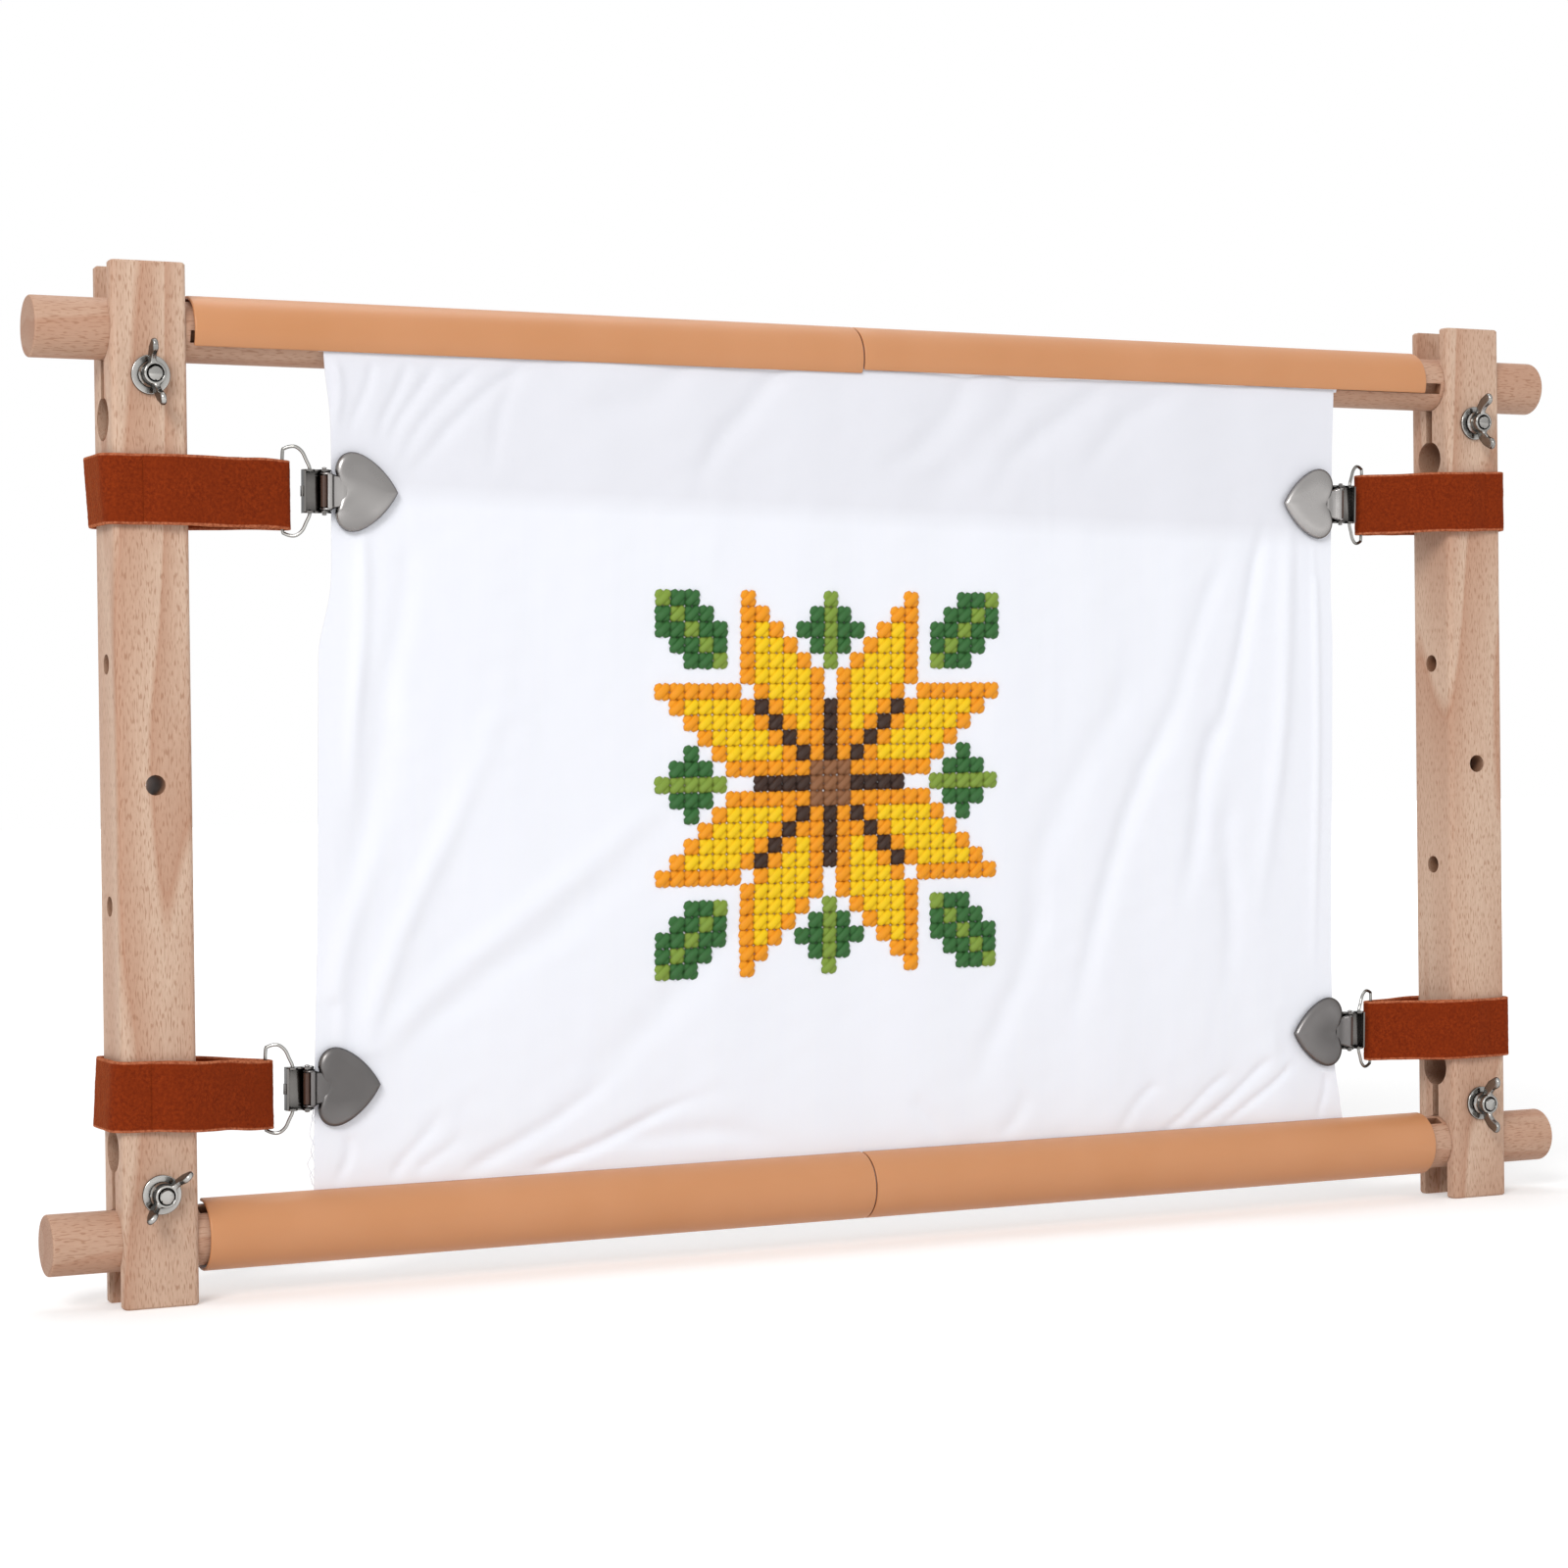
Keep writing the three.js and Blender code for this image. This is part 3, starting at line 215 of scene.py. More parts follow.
def cotton(node):
    """Plain-woven white cotton: matt, threads 0.5 mm apart, with painted shade where it is turned over
    behind.
    """
    uv = node("UVMap", uv_map="surface")
    threads = [
        node("TexWave", Vector=uv, Scale=tau / 20 / COTTON_PITCH, Distortion=0.4, Detail=1,
             bands_direction=way, give=1)
        for way in ("X", "Y")
    ]
    weave = node("Math", threads[0], threads[1], operation="MAXIMUM")
    slub = node("Mapping", Vector=uv, Scale=(1, 0.03, 1))
    band = node("TexNoise", Vector=slub, Scale=260, Detail=3)
    thread = node("Mix", band, "#f7f9ff", "#f5f7ff")
    # Painted shade: the sheet's top end is folded behind it down to a straight line, which slopes a little
    # to the right, and above that line the colour is greyer
    slope = node("Mapping", Vector=uv, Rotation=(0, 0, 0.0242))
    height = node("SeparateXYZ", slope, give=1)
    turned_over_shade = node("MapRange", height, HEM_HEIGHT - 5 * MM, HEM_HEIGHT + 5 * MM)
    base = node("Mix", turned_over_shade, thread, "#ecedf4")
    bump = node("Bump", Strength=0.12, Distance=0.1 * MM, Height=weave)
    return node("BsdfPrincipled", Base_Color=base, Roughness=0.9, Specular_IOR_Level=0.2,
                Sheen_Weight=0.08, Sheen_Roughness=0.5, Normal=bump)


def velvet(node):
    """Brushed nylon pile, rust brown: its nap glows where it is seen edge on, and its selvedge is paler."""
    uv = node("UVMap", uv_map="surface")
    place = node("TexCoord", give="Object")
    nap = node("TexNoise", Vector=place, Scale=800, Detail=4, Roughness=0.7)
    patch = node("TexNoise", Vector=place, Scale=90, Detail=2)
    across = node("SeparateXYZ", uv, give=1)
    # The v coordinate runs from 0 at one woven edge to 1 at the other
    middle = node("Math", across, 0.5, operation="SUBTRACT")
    away = node("Math", middle, operation="ABSOLUTE")
    edge = node("MapRange", away, 0.472, 0.49, 0.0, 0.8)
    strand = node("MapRange", nap, 0.35, 0.7)
    broken = node("MapRange", nap, 0.4, 0.6, 0.35, 1.0)
    dotted = node("Math", edge, broken, operation="MULTIPLY")
    pile = node("Mix", strand, "#67200a", "#a03f15")
    soft = node("Mix", patch, pile, "#7f2d0d")
    edged = node("Mix", dotted, soft, "#cf7f5a")
    bump = node("Bump", Strength=0.7, Distance=0.3 * MM, Height=nap)
    return node("BsdfPrincipled", Base_Color=edged, Roughness=0.95, Specular_IOR_Level=0.1,
                Sheen_Weight=0.45, Sheen_Roughness=0.3, Sheen_Tint="#f59a55", Normal=bump)


def steel(node, base, edge, roughness, grain, depth):
    """Plated steel with painted dark reflection (edge) where it curves away, in soft patches and in nooks;
    grain scales its brushing marks along each axis.
    """
    place = node("TexCoord", give="Object")
    along = node("Mapping", Vector=place, Scale=grain)
    mark = node("TexNoise", Vector=along, Scale=1000, Detail=3)
    worn = node("TexNoise", Vector=place, Scale=160, Detail=3)
    rough = node("MapRange", worn, 0.3, 0.7, roughness * 0.8, roughness * 1.25)
    bump = node("Bump", Strength=depth, Distance=0.05 * MM, Height=mark)
    # Painted reflection: the colour darkens towards edge where the surface turns away from the camera, and
    # in soft patches
    turned_away = node("LayerWeight", Blend=0.35, give="Facing")
    shade = node("MapRange", turned_away, 0.04, 0.5)
    soft = node("TexNoise", Vector=place, Scale=30, Detail=1)
    cloud = node("MapRange", soft, 0.4, 0.62, 0.0, 0.5)
    # Painted shade: nooks are darkened, as they reflect the metal next to them instead of the room
    sky = node("AmbientOcclusion", Distance=5 * MM, samples=6, give="AO")
    nook = node("MapRange", sky, 0.35, 0.9, 1.0, 0.0)
    patchy_or_turned_away = node("Math", shade, cloud, operation="MAXIMUM")
    painted_dark = node("Math", patchy_or_turned_away, nook, operation="MAXIMUM")
    tone = node("Mix", painted_dark, base, edge)
    return node("BsdfPrincipled", Base_Color=tone, Metallic=1.0, Roughness=rough, Normal=bump)


def insert_plastic(node):
    """Moulded nylon, dark brown: a slightly waxy smooth skin."""
    place = node("TexCoord", give="Object")
    grain = node("TexNoise", Vector=place, Scale=900, Detail=2)
    base = node("Mix", grain, "#4a2f20", "#3a2318")
    return node("BsdfPrincipled", Base_Color=base, Roughness=0.45, IOR=1.53)


def stranded_cotton(node, light, dark):
    """Mercerised embroidery cotton: glossy strands, 0.75 mm apart, along the stitch, with painted shade
    (the dark colour) between them.
    """
    uv = node("UVMap", uv_map="surface")
    strand = node("TexWave", Vector=uv, Scale=tau / 20 / STRAND_PITCH, Distortion=1.2, Detail=1,
                  bands_direction="Y", give=1)
    base = node("Mix", strand, dark, light)
    # Painted shade: where stitches meet, the threads shade each other, and the colour is darkened there
    sky = node("AmbientOcclusion", Distance=1.5 * MM, samples=6, give="AO")
    gap_shade = node("MapRange", sky, 0.3, 0.8, 1.0, 0.0)
    shaded = node("Mix", gap_shade, base, "#a88a70", blend_type="MULTIPLY")
    bump = node("Bump", Strength=0.6, Distance=0.2 * MM, Height=strand)
    return node("BsdfPrincipled", Base_Color=shaded, Roughness=0.5, IOR=1.53, Specular_IOR_Level=0.35,
                Normal=bump)


# Meshes. A grid is an array of points [row, column, xyz] with a uv array [row, column, 2]; a grid
# that closes on itself repeats its first line as its last, and the two are merged afterwards.

def grid_faces(rows, columns, start):
    """The corner numbers of every quad of a grid, as one array."""
    first = start + np.arange(rows - 1)[:, None] * columns + np.arange(columns - 1)[None, :]
    return np.stack([first, first + 1, first + columns + 1, first + columns], -1).reshape(-1, 4)


def build(name, grids, finish, body, replaces=(), smooth=40):
    """One closed piece from grids of points: merged, turned outwards, shaded smooth and put on its body."""
    points, uvs, faces, start = [], [], [], 0
    for surface in grids:
        at, uv = surface if isinstance(surface, tuple) else (surface, None)
        rows, columns = at.shape[:2]
        if uv is None:
            steps = np.meshgrid(np.linspace(0, 1, rows), np.linspace(0, 1, columns), indexing="ij")
            uv = np.stack(steps, -1)
        points.append(at.reshape(-1, 3))
        uvs.append(uv.reshape(-1, 2))
        faces.append(grid_faces(rows, columns, start))
        start += rows * columns
    points, uvs, faces = np.concatenate(points), np.concatenate(uvs), np.concatenate(faces)
    mesh = bpy.data.meshes.new(name)
    mesh.from_pydata(points.tolist(), [], faces.tolist())
    layer = mesh.uv_layers.new(name="surface")
    layer.data.foreach_set("uv", uvs[faces.ravel()].astype(np.float32).ravel())
    # Merge doubled points, drop faces that shrank to nothing and turn the rest outwards
    work = bmesh.new()
    work.from_mesh(mesh)
    bmesh.ops.remove_doubles(work, verts=work.verts, dist=SAME_PLACE)
    bmesh.ops.dissolve_degenerate(work, edges=work.edges, dist=SAME_PLACE)
    bmesh.ops.recalc_face_normals(work, faces=work.faces)
    work.to_mesh(mesh)
    work.free()
    return settle(name, mesh, finish, body, replaces, smooth)


def put(name, data):
    """A new object in the scene."""
    made = bpy.data.objects.new(name, data)
    bpy.context.scene.collection.objects.link(made)
    return made


def settle(name, mesh, finish, body, replaces, smooth):
    """Makes a finished mesh a piece: smooth shading, material, body and the nodes that it stands for."""
    piece = put(name, mesh)
    mesh.materials.clear()
    mesh.materials.append(finish[0])
    mesh.polygons.foreach_set("use_smooth", np.ones(len(mesh.polygons), bool))
    mesh.set_sharp_from_angle(angle=radians(smooth))
    if body:
        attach(piece, body)
    if replaces:
        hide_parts(*replaces)
    return piece


def refined(node, name, finish, body):
    """A copy of a rigid node with its points merged and its flat faces made whole."""
    mesh = frame["nodes"][node].data.copy()
    mesh.name = name
    work = bmesh.new()
    work.from_mesh(mesh)
    bmesh.ops.remove_doubles(work, verts=work.verts, dist=SAME_PLACE)
    bmesh.ops.dissolve_limit(work, angle_limit=radians(1), verts=work.verts, edges=work.edges)
    work.to_mesh(mesh)
    work.free()
    return settle(name, mesh, finish, body, [node], 50)


def modify(piece, kind, **settings):
    """Gives a piece a modifier."""
    made = piece.modifiers.new(kind.lower(), kind)
    for name, value in settings.items():
        setattr(made, name, value)


def bevelled(node, name, finish, body, edge):
    """A refined copy of a node whose sharp edges are rounded by a small bevel."""
    piece = refined(node, name, finish, body)
    modify(piece, "BEVEL", width=edge, segments=2, limit_method="ANGLE", angle_limit=radians(28),
           use_clamp_overlap=True, harden_normals=True)


def closer(low, high, count, pull):
    """Places from low to high that stand closer together towards both ends."""
    t = np.linspace(-1, 1, count)
    return low + (high - low) * (0.5 + 0.5 * np.tanh(pull * t) / np.tanh(pull))


def grid(x, y, z):
    """Points from their coordinates, which may be rows, columns or whole grids."""
    return np.stack(np.broadcast_arrays(x, y, z), -1)


def circle(angle):
    """Points of a circle of radius 1."""
    return np.stack([np.cos(angle), np.sin(angle)], -1)


def directions(line):
    """The way that a line runs at each of its points."""
    way = np.gradient(line, axis=0)
    return way / np.linalg.norm(way, axis=1, keepdims=True)


def round_ends(run, reach):
    """1 along a line, and a quarter circle down to 0 within a reach of each end."""
    near = np.clip(np.minimum(run, run[-1] - run) / reach, 0, 1)
    return np.sqrt(1 - (1 - near) ** 2)


def turned(profile, centre, axis, side, steps=48):
    """A surface of revolution: profile rows are (radius, distance along the axis from the centre)."""
    ring = circle(np.linspace(0, tau, steps + 1)) @ np.array([side, np.cross(axis, side)], float)
    radius, along = np.array(profile, float).T[..., None, None]
    return centre + radius * ring + along * np.array(axis, float)


def swept(path, across, up, section):
    """A section of (across, up) offsets carried along a path; each may differ from row to row."""
    across, up = (np.broadcast_to(way, path.shape)[:, None] for way in (across, up))
    return path[:, None] + section[..., :1] * across + section[..., 1:] * up


def band_section(height, radius=0.5 * MM, cuts=40):
    """Offsets round a flat band: quarter circles at its four corners and cuts along its two broad sides."""
    reach = np.array([STRAP_THICKNESS / 2 - radius, height / 2 - radius])
    centres = reach * [(1, 1), (-1, 1), (-1, -1), (1, -1)]
    turn = np.linspace(0, pi / 2, 4)
    a, b, c, d = (centre + radius * circle(turn + k * pi / 2) for k, centre in enumerate(centres))
    return np.concatenate([a, b[:-1], np.linspace(b[-1], c[0], cuts, endpoint=False), c, d[:-1],
                           np.linspace(d[-1], a[0], cuts + 1)])


def softened(points, times):
    """Corner cutting: each corner is replaced by points a quarter of the way along its two sides."""
    for _ in range(times):
        before = 0.75 * points[:-1] + 0.25 * points[1:]
        after = 0.25 * points[:-1] + 0.75 * points[1:]
        middle = np.stack([before, after], 1).reshape(-1, points.shape[1])
        points = np.concatenate([points[:1], middle, points[-1:]])
    return points


def evenly(points, step):
    """A line's points at even distances along it, and those distances."""
    run = np.concatenate([[0], np.cumsum(np.linalg.norm(np.diff(points, axis=0), axis=1))])
    at = np.linspace(0, run[-1], max(2, int(run[-1] / step) + 1))
    return np.stack([np.interp(at, run, points[:, k]) for k in range(points.shape[1])], -1), at


def bezier(a, b, c, d, steps):
    """Points of a cubic curve from a to d, without its last one."""
    t = np.linspace(0, 1, steps, endpoint=False)[:, None]
    a, b, c, d = (np.array(p, float) for p in (a, b, c, d))
    return a * (1 - t) ** 3 + 3 * b * t * (1 - t) ** 2 + 3 * c * t ** 2 * (1 - t) + d * t ** 3


def ripple(points, size, seed, waves=14):
    """Smooth noise from -1 to 1: a sum of plane waves of about the given size, with seeded directions."""
    rng = np.random.default_rng(seed)
    way = rng.normal(size=(waves, points.shape[-1]))
    way *= (tau / size) * rng.uniform(0.6, 1.5, (waves, 1)) / np.linalg.norm(way, axis=1, keepdims=True)
    phase = rng.uniform(0, tau, waves)
    total = sum(np.sin(points @ way[k] + phase[k]) for k in range(waves))
    return total / sqrt(waves)


def step_up(value, low, high):
    """A smooth step from 0 at low to 1 at high."""
    t = np.clip((value - low) / (high - low), 0, 1)
    return t * t * (3 - 2 * t)


# Rollers, covers and the cloth wound on them

def roller_axis(node):
    """A roller's axis (a point at X 0), its radius and its two ends."""
    low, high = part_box(node)
    return np.array([0, (low.y + high.y) / 2, (low.z + high.z) / 2]), (high.z - low.z) / 2, low.x, high.x


def roller(node, groove_angle):
    """A round bar swept along X. Its section is a circle whose groove opens (open 1) between the rails;
    at each end the section shrinks along a quarter round and closes."""
    axis, radius, left, right = roller_axis(node)
    groove_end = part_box("right_rail")[0].x - GROOVE_END_GAP
    bend = np.linspace(0, pi / 2, 6)
    end = np.concatenate([[0], ROLLER_ROUNDING * (1 - np.cos(bend))])
    size = np.concatenate([[0], 1 - ROLLER_ROUNDING / radius * (1 - np.sin(bend))])
    middle = np.linspace(-groove_end, groove_end, 60)
    x = np.concatenate([left + end, [-groove_end], middle, [groove_end], (right - end)[::-1]])
    sizes = np.concatenate([size, np.ones(62), size[::-1]])[:, None]
    is_open = np.pad(np.ones(60), len(end) + 1)[:, None]
    half = asin(GROOVE_WIDTH / 2 / radius)
    turn = np.linspace(half, tau - half, 120)
    mouth = np.linspace(-1, 1, 10) * GROOVE_WIDTH / 2
    side = np.concatenate([radius * np.sin(turn), mouth, [radius * sin(half)]])
    skin = np.sqrt(np.maximum(radius ** 2 - side ** 2, 0))
    out = np.concatenate([radius * np.cos(turn), skin[120:]])
    floor = out.copy()
    floor[120:-1] = radius - GROOVE_DEPTH
    outs, sides = (out + is_open * (floor - out)) * sizes, side * sizes
    ahead, up = -cos(groove_angle), sin(groove_angle)
    return [grid(x[:, None], axis[1] + outs * ahead + sides * up, axis[2] + outs * up - sides * ahead)]


def arc_layer(node, inner, thickness, start, span, steps=64):
    """A layer as long as its node that goes part of the way round the node's roller.

    Angles begin straight ahead and rise; the section runs along the outer face, round one edge, back
    along the inner face and round the other edge, and shrinks to its middle at both ends."""
    axis = top_axis if "top" in node else bottom_axis
    low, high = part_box(node)
    half = thickness / 2
    middle = inner + half
    edge = np.linspace(0, pi, 9)
    turn = np.concatenate([np.zeros(steps), edge, np.full(steps, pi), pi + edge])
    face = np.linspace(start, start + span, steps)
    angle = np.concatenate([face, np.full(9, start + span), face[::-1], np.full(9, start)])
    bend = np.linspace(0, pi / 2, 6)
    end, share = half * (1 - np.cos(bend)), np.sin(bend)
    x = np.concatenate([low.x + end, np.linspace(low.x, high.x, 34)[1:-1], (high.x - end)[::-1]])
    share = np.concatenate([share, np.ones(32), share[::-1]])[:, None]
    radius = middle + half * share * np.cos(turn)
    angle = angle + np.sign(span) * half * share * np.sin(turn) / middle
    points = grid(x[:, None], axis[1] - radius * np.cos(angle), axis[2] + radius * np.sin(angle))
    return [(points, np.stack([points[..., 0], middle * angle], -1))]


# The stretched cloth

top_axis, roller_radius, _, _ = roller_axis("top_roller")
bottom_axis = roller_axis("bottom_roller")[0]
slide = next(joint for joint in frame["joints"] if joint["name"] == "upper_left_strap_slide")
up_along = np.array(slide["axis"], float)
cloth_slope = -up_along[1] / up_along[2]
wrap_middle = roller_radius + WRAP_CLEARANCE + WRAP_THICKNESS / 2
cloth_top_y = top_axis[1] - wrap_middle * cos(TOP_LEFT_COVER)
cloth_top_z = top_axis[2] + wrap_middle * sin(TOP_LEFT_COVER)
sheet_low, sheet_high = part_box("cloth_sheet")
top_of_lower_cover, bottom_of_upper_cover = sheet_low.z, sheet_high.z
forward = np.array([0, -up_along[2], up_along[1]])


def cloth_depth(z):
    """The Y of the sheet's middle plane, which leans back towards its foot."""
    return cloth_top_y + (cloth_top_z - z) * cloth_slope


# The sheet's two side edges: heights, and how far each edge is from the middle there
LEFT_EDGE = np.array([
    (38, 248.6), (85, 248.2), (116, 247.6), (139, 247), (163, 246.8), (256, 246.2), (272, 245.2),
    (295, 243.2), (317, 242.2), (350, 242.2), (372, 243.9),
]) * MM
RIGHT_EDGE = np.array([
    (38, 248.4), (49, 246), (63, 243.2), (90, 241.4), (113, 240.4), (149, 240), (194, 239.8),
    (257, 239.2), (293, 238.7), (342, 238), (372, 238.2),
]) * MM

# Folds: the start and end (x, z), half the width and the height of each, in millimetres. They fan out
# from the clips, hang down both sides and gather at the lower cover.
FOLDS = [
    (-239, 369, -238, 340, 2.6, 0.6), (-224, 369, -232, 340, 2.6, -0.5), (-210, 369, -221, 336, 2.8, -0.6),
    (-198, 369, -219, 332, 3, -0.7), (-181, 369, -215, 329, 3, -0.6), (-162, 369, -211, 325, 3.4, -0.7),
    (-161, 368, -176, 326, 4, -0.5), (-229, 302, -231, 194, 4, 0.9), (-222, 245, -228, 140, 9, -1.0),
    (-211, 296, -215, 220, 6, -0.5), (-242, 96, -223, 185, 6, 1.05), (-226, 98, -172, 232, 6, 1.1),
    (-222, 92, -86, 206, 7, 0.85), (-203, 97, -90, 187, 8, -0.7), (-130, 84, -26, 157, 9, -0.8),
    (-214, 43, -194, 70, 3, -0.6), (-203, 44, -185, 61, 3, -0.5), (-181, 43, -110, 83, 4, -0.9),
    (-151, 43, -76, 68, 3, -1.2), (-112, 54, -40, 48, 5, -0.7), (-234, 60, -237, 40, 3, -0.6),
    (53, 372, 2, 325, 8, -0.9), (76, 372, 20, 308, 9, -0.8), (112, 372, 58, 322, 7, -1.1),
    (150, 370, 100, 332, 7, -0.8), (-46, 374, -84, 318, 6, -1.0), (-86, 372, -140, 345, 9, -0.7),
    (202, 306, 172, 196, 4.5, -1.2), (178, 222, 157, 140, 6, -1.3), (216, 304, 202, 130, 5, 1.1),
    (180, 292, 138, 196, 6, -0.9), (148, 222, 98, 84, 6, -1.3), (129, 244, 72, 126, 9, -0.8),
    (86, 146, 54, 58, 7, -1.0), (186, 185, 183, 100, 6, -0.8), (229, 300, 232, 100, 2.4, 0.6),
    (226, 71, 181, 38, 2.2, -0.9), (206, 67, 164, 38, 2.4, -0.9), (184, 62, 148, 38, 2.4, -0.8),
    (146, 61, 125, 39, 3, -0.6), (238, 62, 235, 38, 2.4, -0.5), (79, 60, 66, 38, 4, -0.6),
    (26, 62, 38, 39, 4, -0.6), (86, 370, 96, 58, 1.6, 0.15),
]


# Where each clip is: the cloth's point behind its pin, and the way inwards
clips = {}
for name, side, _ in CORNERS:
    low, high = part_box(name + "_clip_pin")
    clips[name] = np.array((low + high) / 2) - forward * PIN_LEVEL, np.array([-side, 0.0, 0.0])


def past_slide(z, name, end):
    """How far a height lies outside the stretch where a clip slides: 22 mm inwards, 7 mm outwards."""
    return np.abs(z - clips[name][0][2] + end * 7.5 * MM) - 14.5 * MM


def cloth_edge(z, side):
    """The X of the cloth's side edge, drawn in where a clip's flanges stand or slide round it."""
    heights, reaches = (LEFT_EDGE if side < 0 else RIGHT_EDGE).T
    reach = np.interp(z, heights, reaches)
    for name, clip_side, end in CORNERS:
        if clip_side == side:
            near = 1 - step_up(past_slide(z, name, end), CLIP_HALF_HEIGHT + 0.5 * MM, 5 * CLIP_HALF_HEIGHT)
            reach = reach + near * np.minimum(0, abs(clips[name][0][0]) - CLOTH_FROM_PIN - reach)
    return side * reach


def fold_rise(x, z):
    """Every fold is a round ridge, or a valley where its height is below 0, that fades at both ends."""
    rise = np.zeros(np.shape(x))
    for x0, z0, x1, z1, half, height in np.array(FOLDS) * MM:
        way_x, way_z = x1 - x0, z1 - z0
        length = hypot(way_x, way_z)
        from_x, from_z = x - x0, z - z0
        at = (from_x * way_x + from_z * way_z) / length ** 2
        away = (from_x * way_z - from_z * way_x) / length
        half = half * FOLD_WIDTH
        wander = 0.5 * half * np.sin(at * 5 + x0 * 40)
        fade = step_up(at, -0.12, 0.12) * (1 - step_up(at, 0.55, 1.12))
        rise = rise + height * np.exp(-((away - wander) / half) ** 2) * fade
    return FOLD_DEPTH * rise


def cloth_rise(x, z, left, right):
    """How far the cloth stands forward of its plane: folds and a soft unevenness, but flat in the jaws."""
    inset = np.minimum(x - left, right - x)
    from_ends = np.minimum(z - top_of_lower_cover, bottom_of_upper_cover - z)
    place = np.stack([x, z], -1)
    soft = 0.5 * MM * ripple(place * np.array([1, 0.3]), 60 * MM, 5) + 0.08 * MM * ripple(place, 17 * MM, 3)
    rise = fold_rise(x, z) + soft * step_up(inset, 0, 40 * MM)
    held = np.zeros(np.shape(x))
    for name, side, end in CORNERS:
        beside = 1 - step_up(np.abs(z - clips[name][0][2]), 8 * MM, 14 * MM)
        held = np.maximum(held, beside * (1 - step_up(inset, 26 * MM, 34 * MM)) * (side * x > 0))
        # Where the clip can slide, the edge is flat, and nothing sinks into the tray behind the cloth
        along = (1 - step_up(past_slide(z, name, end), 9 * MM, 15 * MM)) * (side * x > 0)
        held = np.maximum(held, along * (1 - step_up(inset, 6 * MM, 13 * MM)))
        rise = rise + along * (1 - step_up(inset, 24 * MM, 30 * MM)) * (np.maximum(rise, 0) - rise)
    return rise * (1 - held) * step_up(from_ends, -14 * MM, 4 * MM)


def cloth_front(x, z):
    """A point of the cloth's front face for every x and z."""
    left, right = cloth_edge(z, -1), cloth_edge(z, 1)
    y = cloth_depth(z) - cloth_rise(x, z, left, right) - CLOTH_THICKNESS / 2
    return np.stack([x, y, z], -1)


def closed_sheet(front, back, uv):
    """A thin solid between two grids: each row goes along the front, round, back along the back face."""
    middle = (front + back) / 2

    def ring(a, b):
        return np.concatenate([a, middle[:, -1:], b[:, ::-1], middle[:, :1], a[:, :1]], 1)

    around = ring(front, back)
    closing = ring(middle, middle)
    around = np.concatenate([closing[:1], around, closing[-1:]])
    around_uv = np.concatenate([uv, uv[:, -1:], uv[:, ::-1], uv[:, :1], uv[:, :1]], 1)
    return around, np.concatenate([around_uv[:1], around_uv, around_uv[-1:]])


def cloth_part(heights, columns=250):
    """The cloth at these heights, as a thin closed solid."""
    z = heights[:, None] + np.zeros(columns)
    share = closer(0, 1, columns, 1.2)
    x = cloth_edge(z, -1) * (1 - share) + cloth_edge(z, 1) * share
    front = cloth_front(x, z)
    return [closed_sheet(front, front + [0, CLOTH_THICKNESS, 0], np.stack([x, z], -1))]


def tangent_height(axis, angle):
    """The height where the cloth joins a roller's turn of it."""
    return axis[2] + wrap_middle * sin(angle)


# Loose threads at the sheet's lower left edge: the top and bottom of each loop and how far it hangs out
FRAYS = [(74, 66, 1.4), (70, 57, 2.4), (62, 50, 1.7), (56, 44, 3.0), (49, 41, 2.2)]


def frays():
    """Thin threads that leave the cloth's edge, bow outwards (half a sine) and return to it."""
    grids = []
    t = np.linspace(0, 1, 40)
    for k, (top, bottom, bulge) in enumerate(FRAYS):
        z = (top + (bottom - top) * t) * MM
        bow = bulge * np.sin(pi * t) ** 0.8 + 0.3 * np.sin(11 * t + k) * np.sin(pi * t)
        y = cloth_depth(z) - 0.3 * MM * np.sin(9 * t + 2 * k)
        path = grid(cloth_edge(z, -1) + (0.6 - bow) * MM, y, z)
        size = 0.16 * MM * np.sin(np.clip(t * 20, 0, pi / 2)) * np.sin(np.clip((1 - t) * 20, 0, pi / 2))
        section = circle(np.linspace(0, tau, 7)) * size[:, None, None]
        grids.append(swept(path, (1, 0, 0), (0, 1, 0), section))
    return grids


# Straps, wire loops and clips. Along a clip, lengths are measured inwards from its hinge pin.

def placed(name, along, up, level):
    """Points of a clip given along it, up the cloth and forwards of the cloth."""
    origin, inward = clips[name]
    along, up, level = (np.asarray(v, float)[..., None] for v in (along, up, level))
    return origin + along * inward + up * up_along + level * forward


def loop_points(name, along, up):
    """Points of a wire loop given as if it lay flat: it hangs back by its tilt about its two ends."""
    arm = along + WIRE_HOLE_DISTANCE
    return placed(name, arm * cos(LOOP_TILT) - WIRE_HOLE_DISTANCE, up, LOOP_LEVEL + arm * sin(LOOP_TILT))


def strap_line(bar, half_rail, depth, slack):
    """A strap's middle line from above: from the loop round the outside of the rail, back, round the
    loop's bar, and forward again on top of its own front layer to the tail."""
    front = -(depth / 2 + STRAP_CLEARANCE + STRAP_THICKNESS / 2)
    layer = STRAP_THICKNESS + STRAP_LAYER_GAP
    outside = -(half_rail + slack - STRAP_THICKNESS / 2)
    fold = WIRE_RADIUS + STRAP_FOLD_GAP + STRAP_THICKNESS / 2
    front_corner = np.array([half_rail, front - layer])
    back_corner = np.array([half_rail + STRAP_CLEARANCE, -front])
    back_turn = touching(back_corner, bar, fold, 1)
    front_turn = touching(front_corner, bar, fold, -1)
    way = front_corner - front_turn
    start = front_turn + way * STRAP_CORNER / np.linalg.norm(way)
    corners = [start + [0, layer], (half_rail, front), (outside, front), (outside, -front),
               back_corner, back_turn]
    outer = 3 * MM + 0.8 * slack
    first, last = (atan2(*(turn - bar)[::-1]) for turn in (back_turn, front_turn))
    angle = np.linspace(first, first - (first - last) % tau, 14)
    tail = np.array([half_rail - STRAP_TAIL + STRAP_CORNER, front - layer])
    return np.concatenate([rounded(corners, [STRAP_CORNER, outer, outer, STRAP_CORNER]),
                           bar + fold * circle(angle), [front_corner, tail]])


